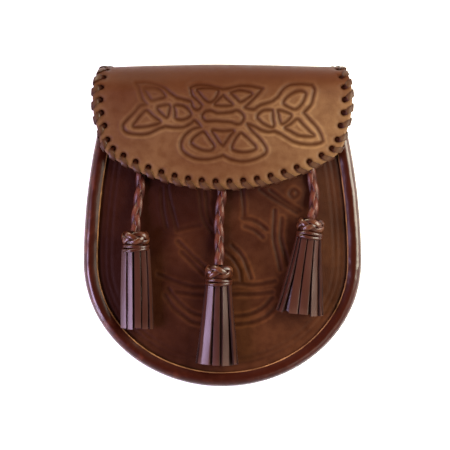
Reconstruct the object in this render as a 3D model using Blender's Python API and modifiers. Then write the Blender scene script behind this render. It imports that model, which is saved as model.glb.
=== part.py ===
"""Leather sporran pouch lying on its back, with a laced flap, strap loops and three tassels.

Metres, +Z up. The floor is z = 0, the front of the pouch faces up, and +Y points to the
fold of the flap. Each function makes one sub-part from the sizes below.
"""

import math

import bmesh
import bpy
from mathutils import Matrix, Vector

# Pouch: overall sizes
POUCH_HEIGHT = 0.2064
POUCH_WIDTH = 0.178
POUCH_DEPTH = 0.038
ROUND_DROP = 0.0797
MOUTH_SETBACK = 0.014
MOUTH_WIDTH = 0.145

# Leather and the play between pieces
BACK_LEATHER = 0.0024
GUSSET_LEATHER = 0.0020
PANEL_LEATHER = 0.0022
FLAP_LEATHER = 0.0024
LOOP_LEATHER = 0.0024
CLEARANCE = 0.0003

# Rim rolled over the front, and the gusset under it
RIM_WIDTH = 0.0084
RIM_HEIGHT = 0.0050
BACK_LIP = 0.0050
GUSSET_TUCK = 0.0016

# Front panel
PANEL_CROWN = 0.0025
PANEL_SETBACK = 0.010

# Flap
FLAP_WIDTH = 0.1652
FLAP_FOLD_WIDTH = 0.1580
FLAP_EDGE_WIDTH = 0.1575
FLAP_LAP_WIDTH = 0.1360
FLAP_LENGTH = 0.0803
FLAP_WIDEST_DOWN = 0.0237
FLAP_EDGE_RADIUS = 0.132
FLAP_CORNER_RADIUS = 0.019
FLAP_LAP = 0.027
FLAP_DROOP = 0.0024
FLAP_SAG = 0.0012
FOLD_BACK_RADIUS = 0.014
FOLD_FRONT_RADIUS = 0.018

# Lacing
LACE_DIAMETER = 0.0020
LACE_PITCH = 0.0091
LACE_INSET = 0.0050
HOLE_DIAMETER = 0.0038

# Strap loops on the back
LOOP_WIDTH = 0.024
LOOP_SPACING = 0.092
LOOP_GAP = 0.0055
LOOP_LENGTH = 0.052
LOOP_BELOW_LAP = 0.0022
LOOP_SEAT = 0.007
LOOP_SLANT = 0.006
REST_LENGTH = 0.043

# Closing stud
STUD_DIAMETER = 0.016
STUD_ABOVE_KEEPER = 0.0035

# Tassels
CORD_DIAMETER = 0.0060
KEEPER_WIDTH = 0.012
KEEPER_LENGTH = 0.008
KNOT_WIDTH = 0.0182
KNOT_DEPTH = 0.0140
KNOT_HEIGHT = 0.0130
CORE_WIDTH = 0.0092
CORE_DEPTH = 0.0068
SKIRT_HEAD = 0.0030
SKIRT_STRIPS = 11
STRIP_GAP = 0.00035
STRIP_THICKNESS = 0.0016

# Number of faces along the curved pieces
SIDE_STEPS = 9
ROUND_STEPS = 30
FOLD_STEPS = 5
TUBE_BEVEL = 2
LACE_BEVEL = 1

# Worked out from the sizes above
BOTTOM_Y = -POUCH_HEIGHT / 2
FOLD_Y = POUCH_HEIGHT / 2
WIDEST_Y = BOTTOM_Y + ROUND_DROP
MOUTH_Y = FOLD_Y - MOUTH_SETBACK
LAP_END_Y = FOLD_Y - FOLD_BACK_RADIUS - FLAP_LAP
LOOP_HIGH = LAP_END_Y - LOOP_BELOW_LAP
LOOP_LOW = LOOP_HIGH - LOOP_LENGTH
LOOP_STAND = LOOP_GAP + LOOP_LEATHER
REST_Y = BOTTOM_Y + REST_LENGTH

# Section of the rim: across as a share of its width, up as a share of its height
RIM_SECTION = (
    {"across": 0.00, "up": 0.00},
    {"across": 0.00, "up": 0.25},
    {"across": 0.06, "up": 0.55},
    {"across": 0.20, "up": 0.84},
    {"across": 0.45, "up": 1.00},
    {"across": 0.75, "up": 0.88},
    {"across": 1.00, "up": 0.66},
)

# Section of the side wall: in as a share of the tuck at the back, up as a share of its height
WALL_SECTION = (
    {"in": 1.70, "up": 0.00},
    {"in": 1.00, "up": 0.07},
    {"in": 0.30, "up": 0.35},
    {"in": 0.00, "up": 1.00},
)

PANEL_EDGE_Z = (
    POUCH_DEPTH
    - RIM_HEIGHT * (1 - RIM_SECTION[-1]["up"])
    - GUSSET_LEATHER * 1.12
    - CLEARANCE
)
FLAP_UNDER_Z = PANEL_EDGE_Z + PANEL_CROWN + CORD_DIAMETER + LACE_DIAMETER + 4 * CLEARANCE
FLAP_TOP_Z = FLAP_UNDER_Z + FLAP_LEATHER
FLAP_BACK_Z = LOOP_STAND - CLEARANCE - FLAP_LEATHER

# Route of each cord, chosen by hand from the keeper under the flap to the collar, as x, y and
# its rise from lying on the panel, 0, to the collar's middle, 1. With it goes the tassel on its
# end: length of the skirt, widths at its head and its ends, and its lean in degrees
TASSELS = (
    {
        "side": "left",
        "route": (
            (-0.0520, 0.0475, 0.0), (-0.0524, 0.0400, 0.0), (-0.0522, 0.0330, 0.0),
            (-0.0526, 0.0240, 0.0), (-0.0540, 0.0140, 0.1), (-0.0552, 0.0040, 0.75),
            (-0.0555, -0.0040, 1.0),
        ),
        "length": 0.0490, "head_width": 0.0176, "end_width": 0.0204, "lean": 0.8,
    },
    {
        "side": "centre",
        "route": (
            (0.0006, 0.0375, 0.0), (0.0004, 0.0300, 0.0), (-0.0004, 0.0200, 0.0),
            (-0.0018, 0.0090, 0.0), (-0.0023, 0.0000, 0.0), (-0.0021, -0.0080, 0.1),
            (-0.0020, -0.0175, 0.75), (-0.0022, -0.0254, 1.0),
        ),
        "length": 0.0504, "head_width": 0.0166, "end_width": 0.0268, "lean": -0.9,
    },
    {
        "side": "right",
        "route": (
            (0.0552, 0.0475, 0.0), (0.0556, 0.0410, 0.0), (0.0564, 0.0340, 0.0),
            (0.0578, 0.0270, 0.0), (0.0586, 0.0190, 0.15), (0.0580, 0.0110, 0.75),
            (0.0567, 0.0040, 1.0),
        ),
        "length": 0.0480, "head_width": 0.0160, "end_width": 0.0300, "lean": -7.4,
    },
)

LEATHERS = {
    "mahogany": {"colour": (0.075, 0.020, 0.012), "roughness": 0.30},
    "dark_brown": {"colour": (0.060, 0.024, 0.011), "roughness": 0.42},
    "tan": {"colour": (0.220, 0.095, 0.042), "roughness": 0.45},
    "tassel": {"colour": (0.080, 0.030, 0.020), "roughness": 0.35},
}
BRASS = {"colour": (0.60, 0.42, 0.16), "roughness": 0.35}


def clear_scene():
    for old in list(bpy.data.objects):
        bpy.data.objects.remove(old, do_unlink=True)


def collection(name):
    made = bpy.data.collections.new(name)
    bpy.context.scene.collection.children.link(made)
    return made


def material(name, finish, metallic=0.0):
    made = bpy.data.materials.new(name)
    made.use_nodes = True
    shader = made.node_tree.nodes["Principled BSDF"]
    shader.inputs["Base Color"].default_value = (*finish["colour"], 1)
    shader.inputs["Roughness"].default_value = finish["roughness"]
    shader.inputs["Metallic"].default_value = metallic
    return made


def add_object(name, data, look, home):
    made = bpy.data.objects.new(name, data)
    home.objects.link(made)
    data.materials.append(look)
    return made


def finish_mesh(mesh, angle=35):
    mesh.shade_smooth()
    mesh.set_sharp_from_angle(angle=math.radians(angle))


def leather_sheet(name, rows, thickness, look, home):
    """A sheet of leather through rows of points, thickened away from its outer side."""
    columns = len(rows[0])
    shape = bmesh.new()
    bmesh.ops.create_grid(shape, x_segments=columns - 1, y_segments=len(rows) - 1, size=1)
    shape.verts.ensure_lookup_table()
    for index, vertex in enumerate(shape.verts):
        vertex.co = rows[index // columns][index % columns]
    bmesh.ops.remove_doubles(shape, verts=shape.verts, dist=1e-6)
    bmesh.ops.dissolve_degenerate(shape, edges=shape.edges, dist=1e-6)
    mesh = bpy.data.meshes.new(name)
    shape.to_mesh(mesh)
    shape.free()
    finish_mesh(mesh)
    made = add_object(name, mesh, look, home)
    wall = made.modifiers.new("leather", "SOLIDIFY")
    wall.thickness = thickness
    wall.offset = -1
    wall.use_even_offset = True
    return made


# Outline of the pouch


def half_width(y):
    """Half the width of the pouch at a height, from the round bottom up to the mouth."""
    if y >= WIDEST_Y:
        rise = (y - WIDEST_Y) / (MOUTH_Y - WIDEST_Y)
        return (POUCH_WIDTH - (POUCH_WIDTH - MOUTH_WIDTH) * rise**2) / 2
    drop = min(1.0, (WIDEST_Y - y) / ROUND_DROP)
    return POUCH_WIDTH / 2 * math.sqrt(1 - drop**2)


def side_normal(y):
    """Outward direction of the right side above the widest line."""
    span = MOUTH_Y - WIDEST_Y
    return Vector((1.0, (POUCH_WIDTH - MOUTH_WIDTH) * (y - WIDEST_Y) / span**2)).normalized()


def pouch_edge(top_y=MOUTH_Y):
    """Points and outward normals of the outline, from the left end of the mouth to the right."""
    right = []
    for step in range(SIDE_STEPS):
        y = top_y + (WIDEST_Y - top_y) * step / SIDE_STEPS
        right.append((Vector((half_width(y), y)), side_normal(y)))
    for step in range(ROUND_STEPS // 2 + 1):
        angle = math.pi / 2 * step / (ROUND_STEPS // 2)
        point = Vector((POUCH_WIDTH / 2 * math.cos(angle), WIDEST_Y - ROUND_DROP * math.sin(angle)))
        normal = Vector((math.cos(angle) / POUCH_WIDTH * 2, -math.sin(angle) / ROUND_DROP))
        right.append((point, normal.normalized()))
    left = [(Vector((-p.x, p.y)), Vector((-n.x, n.y))) for p, n in right[:-1]]
    return left + right[::-1]


def back_z(y):
    """Height of the back over the floor: flat where it rests, then up to the strap loops."""
    rise = (y - REST_Y) / (LOOP_LOW - REST_Y)
    share = min(1.0, max(0.0, rise))
    return LOOP_STAND * (1 - math.cos(math.pi * share)) / 2


def panel_top(x, y):
    """Height of the front panel's top, level under the rim and crowned inside it."""
    reach = half_width(y) - RIM_WIDTH * 1.1
    if y < WIDEST_Y:
        across = x / (POUCH_WIDTH / 2 - RIM_WIDTH * 1.1)
        along = (WIDEST_Y - y) / (ROUND_DROP - RIM_WIDTH * 1.1)
        return PANEL_EDGE_Z + PANEL_CROWN * max(0.0, 1 - across**2 - along**2)
    return PANEL_EDGE_Z + PANEL_CROWN * max(0.0, 1 - (x / reach) ** 2)


# Pouch


def make_back_panel(look, home):
    """The back, one row of points for each step of the outline from the bottom to the mouth."""
    shares = (-1.0, -0.55, 0.0, 0.55, 1.0)
    edge = pouch_edge()
    rows = []
    for point, normal in edge[len(edge) // 2:]:
        corner = point - normal * GUSSET_TUCK / 2
        rows.append([Vector((corner.x * s, corner.y, back_z(corner.y))) for s in shares])
    return leather_sheet("back_panel", [row[::-1] for row in rows], BACK_LEATHER, look, home)


def gusset_section(point, normal):
    """Outer side of the gusset at one point of the outline, back lip first."""
    top = POUCH_DEPTH - RIM_HEIGHT - CLEARANCE
    section = []
    for inset, up in [(BACK_LIP, 0.0)] + [(GUSSET_TUCK * r["in"], r["up"]) for r in WALL_SECTION]:
        place = point - normal * inset
        low = back_z(place.y) + BACK_LEATHER + CLEARANCE
        section.append(Vector((place.x, place.y, low + (top - low) * up)))
    return section


def rim_section(point, normal):
    """Outer side of the rim at one point of the outline, from the gusset up and over the front."""
    section = []
    for row in RIM_SECTION:
        place = point - normal * RIM_WIDTH * row["across"]
        z = POUCH_DEPTH - RIM_HEIGHT * (1 - row["up"])
        section.append(Vector((place.x, place.y, z)))
    return section


def make_edge_piece(name, section, look, home):
    """A U of soft leather round the pouch, with one section at each point of the outline."""
    columns = [section(point, normal) for point, normal in pouch_edge()]
    rows = [list(row) for row in zip(*columns)]
    return leather_sheet(name, rows, GUSSET_LEATHER, look, home)


def panel_ring(inset, share):
    """A loop of points inside the outline, drawn in towards the panel's middle by a share."""
    top_y = MOUTH_Y - PANEL_SETBACK
    top_y -= max(0.0, inset - GUSSET_LEATHER - 3 * CLEARANCE)
    loop = [point - normal * inset for point, normal in pouch_edge(top_y)]
    loop[0].y = top_y
    loop[-1].y = top_y
    across = 8
    for step in range(1, across + 1):
        blend = step / across
        loop.append(loop[-1 - (step - 1)].lerp(loop[0], blend))
    middle = Vector((0, (top_y + BOTTOM_Y) / 2))
    ring = [middle.lerp(point, share) for point in loop]
    return [Vector((p.x, p.y, panel_top(p.x, p.y))) for p in ring]


def make_front_panel(look, home):
    """The front, crowned inside the rim, in rings from its edge to its middle."""
    edge_inset = GUSSET_LEATHER + 3 * CLEARANCE
    rings = [panel_ring(edge_inset, 1.0), panel_ring(RIM_WIDTH * 1.1, 1.0)]
    for share in (0.76, 0.5, 0.25, 0.0):
        rings.append(panel_ring(RIM_WIDTH * 1.1, share))
    return leather_sheet("front_panel", rings, PANEL_LEATHER, look, home)


# Flap


def fold_profile():
    """Outer line of the flap in its middle, as (y, z), from its end on the back to its lower edge."""
    back_turn_y = FOLD_Y - FOLD_BACK_RADIUS
    front_turn_y = FOLD_Y - FOLD_FRONT_RADIUS
    line = [(LAP_END_Y, FLAP_BACK_Z)]
    for step in range(FOLD_STEPS + 1):
        angle = math.pi / 2 * step / FOLD_STEPS
        y = back_turn_y + FOLD_BACK_RADIUS * math.sin(angle)
        line.append((y, FLAP_BACK_Z + FOLD_BACK_RADIUS * (1 - math.cos(angle))))
    for step in range(FOLD_STEPS + 1):
        angle = math.pi / 2 * step / FOLD_STEPS
        y = front_turn_y + FOLD_FRONT_RADIUS * math.cos(angle)
        line.append((y, FLAP_TOP_Z - FOLD_FRONT_RADIUS * (1 - math.sin(angle))))
    lower_edge = FOLD_Y - FLAP_LENGTH
    front_steps = 8
    for step in range(1, front_steps + 1):
        share = step / front_steps
        y = front_turn_y + (lower_edge - front_turn_y) * share
        line.append((y, FLAP_TOP_Z - FLAP_SAG * math.sin(math.pi * share)))
    return [Vector(point) for point in line]


class FlapPattern:
    """The flap's leather laid flat: x across, s along from its end on the back."""

    def __init__(self):
        self.line = fold_profile()
        self.stations = [0.0]
        for a, b in zip(self.line, self.line[1:]):
            self.stations.append(self.stations[-1] + (b - a).length)
        self.length = self.stations[-1]
        self.crest = self.length - FLAP_LENGTH
        self.widest = self.length - FLAP_LENGTH + FLAP_WIDEST_DOWN
        self.corner_turn()

    def edge_rise(self, x):
        """How far the lower edge has risen at a distance from the middle."""
        return FLAP_EDGE_RADIUS - math.sqrt(FLAP_EDGE_RADIUS**2 - x**2)

    def corner_turn(self):
        """Centre of the corner's arc, which touches the side and the arc of the lower edge."""
        side = FLAP_EDGE_WIDTH / 2 - FLAP_CORNER_RADIUS
        inner = FLAP_EDGE_RADIUS - FLAP_CORNER_RADIUS
        rise = FLAP_EDGE_RADIUS - math.sqrt(inner**2 - side**2)
        self.corner_x = side
        self.corner_s = self.length - rise
        self.corner_end = math.acos(side / inner)

    def half(self, s):
        """Half the flap's width at s."""
        if s >= self.widest:
            share = (s - self.widest) / (self.corner_s - self.widest)
            return (FLAP_WIDTH - (FLAP_WIDTH - FLAP_EDGE_WIDTH) * min(1.0, share) ** 2) / 2
        if s >= self.crest:
            share = (self.widest - s) / (self.widest - self.crest)
            return (FLAP_WIDTH - (FLAP_WIDTH - FLAP_FOLD_WIDTH) * share**2) / 2
        share = (self.crest - s) / (self.crest - FLAP_LAP)
        fade = (1 - math.cos(math.pi * min(1.0, share))) / 2
        return (FLAP_FOLD_WIDTH - (FLAP_FOLD_WIDTH - FLAP_LAP_WIDTH) * fade) / 2

    def edge(self):
        """The right half of the laced edge, from the back lap to the middle of the lower edge."""
        points = []
        steps = 40
        for step in range(steps):
            s = FLAP_LAP + (self.corner_s - FLAP_LAP) * step / steps
            points.append(Vector((self.half(s), s)))
        steps = 10
        for step in range(steps):
            angle = self.corner_end * step / steps
            x = self.corner_x + FLAP_CORNER_RADIUS * math.cos(angle)
            points.append(Vector((x, self.corner_s + FLAP_CORNER_RADIUS * math.sin(angle))))
        turn = math.pi / 2 - self.corner_end
        steps = 20
        for step in range(steps + 1):
            angle = turn * (1 - step / steps)
            x = FLAP_EDGE_RADIUS * math.sin(angle)
            points.append(Vector((x, self.length - FLAP_EDGE_RADIUS * (1 - math.cos(angle)))))
        return points

    def place(self, x, s, lift=0.0):
        """The point of the flap's outer side at x and s, or lift above it."""
        index = 0
        while index < len(self.line) - 2 and s > self.stations[index + 1]:
            index += 1
        start, end = self.line[index], self.line[index + 1]
        share = (s - self.stations[index]) / (self.stations[index + 1] - self.stations[index])
        here = start.lerp(end, share)
        out = self.normal_at(index).lerp(self.normal_at(index + 1), min(1.0, share)).normalized()
        fade = min(1.0, max(0.0, (s - FLAP_LAP) / (self.crest - FLAP_LAP)))
        droop = FLAP_DROOP * fade * (2 * x / FLAP_WIDTH) ** 2
        here = here + out * (lift - droop)
        return Vector((x, here.x, here.y))

    def normal_at(self, index):
        """Outward direction of the line at one of its points."""
        before = self.line[max(0, index - 1)]
        after = self.line[min(len(self.line) - 1, index + 1)]
        way = (after - before).normalized()
        return Vector((way.y, -way.x))


def make_flap(pattern, look, home, cutters):
    """The flap, bent over the mouth, with a punched hole for each stitch of the lacing."""
    corner_columns = 4
    inner_columns = 6
    ends = [(pattern.half(pattern.corner_s), pattern.corner_s)]
    for step in range(1, corner_columns + 1):
        angle = pattern.corner_end * step / corner_columns
        x = pattern.corner_x + FLAP_CORNER_RADIUS * math.cos(angle)
        ends.append((x, pattern.corner_s + FLAP_CORNER_RADIUS * math.sin(angle)))
    last_x = ends[-1][0]
    for step in range(1, inner_columns + 1):
        x = last_x * (1 - step / inner_columns)
        ends.append((x, pattern.length - pattern.edge_rise(x)))
    ends += [(-x, s) for x, s in ends[-2::-1]]
    edge_half = FLAP_EDGE_WIDTH / 2
    front_steps = 3
    straight = [s for s in pattern.stations if s < pattern.corner_s - 0.004]
    rows = [[pattern.place(x / edge_half * pattern.half(s), s) for x, _ in ends] for s in straight]
    for step in range(front_steps + 1):
        share = step / front_steps
        row = []
        for x, end in ends:
            s = pattern.corner_s + (end - pattern.corner_s) * share
            row.append(pattern.place(x, s))
        rows.append(row)
    flap = leather_sheet("flap", rows, FLAP_LEATHER, look, home)
    punch_holes(flap, pattern, cutters)
    return flap


def hole_places(pattern):
    """Middle of each hole and of the edge beside it, and the way along the edge, left to right."""
    right = pattern.edge()[::-1]
    edge = [Vector((-p.x, p.y)) for p in right[::-1]] + right[1:]
    lengths = [0.0]
    for a, b in zip(edge, edge[1:]):
        lengths.append(lengths[-1] + (b - a).length)
    count = max(3, int(lengths[-1] / LACE_PITCH))
    places = []
    for number in range(count):
        target = lengths[-1] * (number + 0.5) / count
        index = next(i for i in range(len(edge) - 1) if lengths[i + 1] >= target)
        share = (target - lengths[index]) / (lengths[index + 1] - lengths[index])
        point = edge[index].lerp(edge[index + 1], share)
        way = (edge[index + 1] - edge[index]).normalized()
        places.append((point, way, Vector((way.y, -way.x))))
    return places


def punch_holes(flap, pattern, cutters):
    shape = bmesh.new()
    for edge_point, _, inward in hole_places(pattern):
        middle = edge_point + inward * LACE_INSET
        top = pattern.place(middle.x, middle.y, FLAP_LEATHER)
        bottom = pattern.place(middle.x, middle.y, -2 * FLAP_LEATHER)
        turn = (top - bottom).to_track_quat("Z", "X").to_matrix().to_4x4()
        bmesh.ops.create_cone(
            shape, cap_ends=True, segments=8, radius1=HOLE_DIAMETER / 2, radius2=HOLE_DIAMETER / 2,
            depth=(top - bottom).length, matrix=Matrix.Translation((top + bottom) / 2) @ turn,
        )
    mesh = bpy.data.meshes.new("hole_punch")
    shape.to_mesh(mesh)
    shape.free()
    punch = bpy.data.objects.new("hole_punch", mesh)
    punch.hide_render = True
    punch.display_type = "WIRE"
    cutters.objects.link(punch)
    cut = flap.modifiers.new("holes", "BOOLEAN")
    cut.operation = "DIFFERENCE"
    cut.object = punch


def tube(name, points, diameter, bevel, look, home):
    """A round cord or thong along points."""
    curve = bpy.data.curves.new(name, "CURVE")
    curve.dimensions = "3D"
    curve.bevel_depth = diameter / 2
    curve.bevel_resolution = bevel
    curve.use_fill_caps = True
    line = curve.splines.new("POLY")
    line.points.add(len(points) - 1)
    for target, point in zip(line.points, points):
        target.co = (*point, 1)
    return add_object(name, curve, look, home)


def make_lacing(pattern, look, home):
    """One thong: up through a hole, over the edge, back under the flap and on to the next hole."""
    stand = CLEARANCE + LACE_DIAMETER / 2
    over, under = stand, -FLAP_LEATHER - stand
    points = []
    places = hole_places(pattern)
    for number, (edge_point, way, inward) in enumerate(places):
        middle = edge_point + inward * LACE_INSET
        points.append(pattern.place(middle.x, middle.y, under))
        points.append(pattern.place(middle.x, middle.y, over))
        if number == len(places) - 1:
            break
        following, next_way, next_inward = places[number + 1]
        for share, lift in ((0.35, over), (0.45, under)):
            beside = edge_point.lerp(following, share)
            outward = -inward.lerp(next_inward, share).normalized()
            turn = abs(way.angle_signed(next_way))
            bulge = LACE_PITCH * turn / 8
            place = beside + outward * (stand + bulge)
            points.append(pattern.place(place.x, place.y, lift))
    return tube("flap_lacing", points, LACE_DIAMETER, LACE_BEVEL, look, home)


# Strap loops and stud


def make_belt_loop(name, x, look, home):
    """A strip sewn to the back at its two ends, standing off it between them."""
    seat_z = LOOP_STAND - CLEARANCE - LOOP_LEATHER
    line = (
        (LOOP_LOW, seat_z),
        (LOOP_LOW + LOOP_SEAT, seat_z),
        (LOOP_LOW + LOOP_SEAT + LOOP_SLANT, 0.0),
        (LOOP_HIGH - LOOP_SEAT - LOOP_SLANT, 0.0),
        (LOOP_HIGH - LOOP_SEAT, seat_z),
        (LOOP_HIGH, seat_z),
    )
    half = LOOP_WIDTH / 2
    rows = [[Vector((x + half, y, z)), Vector((x - half, y, z))] for y, z in line]
    return leather_sheet(name, rows, LOOP_LEATHER, look, home)


def make_stud(pattern, look, home):
    """The hidden stud, one plain piece from the front panel to the flap."""
    radius = STUD_DIAMETER / 2
    keeper_end = TASSELS[1]["route"][0][1] + KEEPER_LENGTH
    y = keeper_end + STUD_ABOVE_KEEPER + radius
    around = [(0, y + radius), (0, y - radius), (radius, y), (-radius, y), (0, y)]
    low = max(panel_top(a, b) for a, b in around) + CLEARANCE
    station = pattern.length - (y - (FOLD_Y - FLAP_LENGTH))
    high = min(
        pattern.place(a, station + (y - b), -FLAP_LEATHER).z for a, b in around
    ) - CLEARANCE
    mesh = bpy.data.meshes.new("press_stud")
    shape = bmesh.new()
    bmesh.ops.create_cone(
        shape, cap_ends=True, segments=20, radius1=radius, radius2=radius, depth=high - low
    )
    shape.to_mesh(mesh)
    shape.free()
    finish_mesh(mesh)
    stud = add_object("press_stud", mesh, look, home)
    stud.location = (0, y, (low + high) / 2)
    return stud


# Tassels


def rest_on_panel(x, y, half_size=0.0):
    """Height just clear of the panel's top under a small square footprint."""
    spots = [(x + a * half_size, y + b * half_size) for a in (-1, 0, 1) for b in (-1, 0, 1)]
    return max(panel_top(a, b) for a, b in spots) + CLEARANCE


def smooth_route(route, step):
    """Points about one step apart on a smooth curve through the route's own points."""
    ends = [2 * route[0] - route[1], *route, 2 * route[-1] - route[-2]]
    points = []
    for before, a, b, after in zip(ends, ends[1:], ends[2:], ends[3:]):
        pieces = max(1, round((b - a).length / step))
        for piece in range(pieces):
            t = piece / pieces
            bend = (2 * before - 5 * a + 4 * b - after) * t**2 + (3 * a - before - 3 * b + after) * t**3
            points.append((2 * a + (b - before) * t + bend) / 2)
    return points + [route[-1]]


def make_cord(tassel, look, home):
    """The plaited cord as a plain tube lying on the front panel."""
    route = []
    for x, y, rise in tassel["route"]:
        lift = CORD_DIAMETER / 2 + (KNOT_DEPTH - CORD_DIAMETER) / 2 * rise
        route.append(Vector((x, y, rest_on_panel(x, y, CORD_DIAMETER / 4) + lift)))
    points = smooth_route(route, CORD_DIAMETER)
    return tube("tassel_cord_" + tassel["side"], points, CORD_DIAMETER, TUBE_BEVEL, look, home)


def make_keeper(tassel, look, home):
    """The block of leather under the flap that holds the cord's top end."""
    x, y, _ = tassel["route"][0]
    z = rest_on_panel(x, y + KEEPER_LENGTH / 2, KEEPER_WIDTH / 2)
    shape = bmesh.new()
    bmesh.ops.create_cube(shape, size=1)
    bmesh.ops.scale(shape, vec=(KEEPER_WIDTH, KEEPER_LENGTH, CORD_DIAMETER), verts=shape.verts)
    mesh = bpy.data.meshes.new("cord_keeper_" + tassel["side"])
    shape.to_mesh(mesh)
    shape.free()
    keeper = add_object(mesh.name, mesh, look, home)
    keeper.location = (x, y + KEEPER_LENGTH / 2 + CLEARANCE, z + CORD_DIAMETER / 2)
    softened = keeper.modifiers.new("softened", "BEVEL")
    softened.width = CORD_DIAMETER / 8
    softened.segments = 1
    return keeper


def tassel_place(tassel):
    """Where a tassel lies: its middle is the collar's, +Y runs up its cord, z = 0 is the panel."""
    end = Vector(tassel["route"][-1][:2])
    lean = math.radians(tassel["lean"])
    down = Vector((math.sin(lean), -math.cos(lean)))
    middle = end + down * (KNOT_HEIGHT / 2 - CLEARANCE)
    tip = end + down * (KNOT_HEIGHT + tassel["length"])
    high = rest_on_panel(middle.x, middle.y, KNOT_WIDTH / 4)
    low = rest_on_panel(tip.x, tip.y, KNOT_WIDTH / 4)
    slope = math.atan2(high - low, (tip - middle).length)
    turn = Matrix.Rotation(lean, 4, "Z") @ Matrix.Rotation(slope, 4, "X")
    return Matrix.Translation((middle.x, middle.y, high)) @ turn


def make_knot(tassel, look, home):
    """The woven collar as a plain barrel with a bore for the tassel's core."""
    name = "tassel_knot_" + tassel["side"]
    bore = CORE_WIDTH / 2 + CLEARANCE
    half = KNOT_HEIGHT / 2
    wall = KNOT_WIDTH / 2 - bore
    section = []
    steps = 8
    for step in range(steps):
        angle = 2 * math.pi * (step + 0.5) / steps
        out = bore + wall / 2 * (1 + math.cos(angle) / math.cos(math.pi / steps))
        section.append((out, half * math.sin(angle) / math.cos(math.pi / steps)))
    shape = bmesh.new()
    corners = [shape.verts.new((out, along, 0)) for out, along in section]
    ring = [shape.edges.new((corners[i - 1], corners[i])) for i in range(steps)]
    turns = 14
    bmesh.ops.spin(
        shape, geom=corners + ring, cent=(0, 0, 0), axis=(0, 1, 0), angle=2 * math.pi,
        steps=turns, use_merge=True,
    )
    bmesh.ops.remove_doubles(shape, verts=shape.verts, dist=1e-6)
    bmesh.ops.recalc_face_normals(shape, faces=shape.faces)
    bmesh.ops.scale(shape, vec=(1, 1, KNOT_DEPTH / KNOT_WIDTH), verts=shape.verts)
    bmesh.ops.translate(shape, vec=(0, 0, KNOT_DEPTH / 2), verts=shape.verts)
    mesh = bpy.data.meshes.new(name)
    shape.to_mesh(mesh)
    shape.free()
    finish_mesh(mesh)
    knot = add_object(name, mesh, look, home)
    knot.matrix_world = tassel_place(tassel)
    return knot


def make_skirt(tassel, look, home):
    """The tassel: a core for the collar, a head under it and flat strips drawn out of the head."""
    name = "tassel_skirt_" + tassel["side"]
    head_half = Vector((tassel["head_width"] / 2, KNOT_DEPTH * 0.40))
    end_half = Vector((tassel["end_width"] / 2, KNOT_DEPTH * 0.42))
    shape = bmesh.new()
    bmesh.ops.create_cone(
        shape, cap_ends=True, segments=SKIRT_STRIPS, radius1=1, radius2=1, depth=SKIRT_HEAD,
        matrix=Matrix.Rotation(-math.pi / 2, 4, "X"),
    )
    bmesh.ops.scale(shape, vec=(head_half.x, 1, head_half.y), verts=shape.verts)
    head_y = -KNOT_HEIGHT / 2 - CLEARANCE - SKIRT_HEAD / 2
    bmesh.ops.translate(shape, vec=(0, head_y, 0), verts=shape.verts)
    shape.faces.ensure_lookup_table()
    top = max(shape.faces, key=lambda face: face.normal.y)
    bottom = min(shape.faces, key=lambda face: face.normal.y)
    draw_core(shape, top, head_half)
    draw_strips(shape, bottom, tassel["length"] - SKIRT_HEAD, head_half, end_half)
    lift = KNOT_DEPTH / 2
    for vertex in shape.verts:
        along = min(1.0, max(0.0, (head_y - vertex.co.y) / tassel["length"]))
        vertex.co.z += lift + (end_half.y - lift) * along
    mesh = bpy.data.meshes.new(name)
    shape.to_mesh(mesh)
    shape.free()
    finish_mesh(mesh)
    skirt = add_object(name, mesh, look, home)
    skirt.matrix_world = tassel_place(tassel)
    return skirt


def draw_core(shape, face, head_half):
    """Draws the core out of the head's top face, up through the collar."""
    bmesh.ops.inset_region(shape, faces=[face], thickness=head_half.y / 4, use_even_offset=True)
    ring = list(face.verts)
    for vertex in ring:
        angle = math.atan2(vertex.co.z / head_half.y, vertex.co.x / head_half.x)
        vertex.co.x = CORE_WIDTH / 2 * math.cos(angle)
        vertex.co.z = CORE_DEPTH / 2 * math.sin(angle)
    drawn = bmesh.ops.extrude_discrete_faces(shape, faces=[face])
    length = KNOT_HEIGHT - 3 * CLEARANCE
    bmesh.ops.translate(shape, vec=(0, length, 0), verts=drawn["faces"][0].verts)


def draw_strips(shape, face, length, head_half, end_half):
    """Draws one strip out of each part of the ring round the head's bottom face, and a middle."""
    made = bmesh.ops.inset_region(
        shape, faces=[face], thickness=STRIP_THICKNESS + STRIP_GAP, use_even_offset=True
    )
    parts = list(made["faces"])
    bmesh.ops.inset_individual(
        shape, faces=parts + [face], thickness=STRIP_GAP / 2, use_even_offset=True
    )
    drawn = bmesh.ops.extrude_discrete_faces(shape, faces=parts + [face])
    for strip in drawn["faces"]:
        for vertex in strip.verts:
            vertex.co.x *= end_half.x / head_half.x
            vertex.co.z *= end_half.y / head_half.y
            vertex.co.y -= length


def main():
    clear_scene()
    home = collection("sporran_pouch")
    cutters = collection("cutters")
    mahogany = material("mahogany_leather", LEATHERS["mahogany"])
    dark_brown = material("dark_brown_leather", LEATHERS["dark_brown"])
    tan = material("tan_leather", LEATHERS["tan"])
    tassel_leather = material("tassel_leather", LEATHERS["tassel"])
    brass = material("brass", BRASS, metallic=1.0)
    make_back_panel(dark_brown, home)
    make_edge_piece("gusset", gusset_section, mahogany, home)
    make_edge_piece("rim", rim_section, mahogany, home)
    make_front_panel(dark_brown, home)
    pattern = FlapPattern()
    make_flap(pattern, tan, home, cutters)
    make_lacing(pattern, tan, home)
    make_stud(pattern, brass, home)
    for side, sign in (("left", -1), ("right", 1)):
        make_belt_loop("belt_loop_" + side, sign * LOOP_SPACING / 2, dark_brown, home)
    for tassel in TASSELS:
        make_keeper(tassel, dark_brown, home)
        make_cord(tassel, mahogany, home)
        make_knot(tassel, mahogany, home)
        make_skirt(tassel, tassel_leather, home)


if __name__ == "__main__":
    main()
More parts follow.
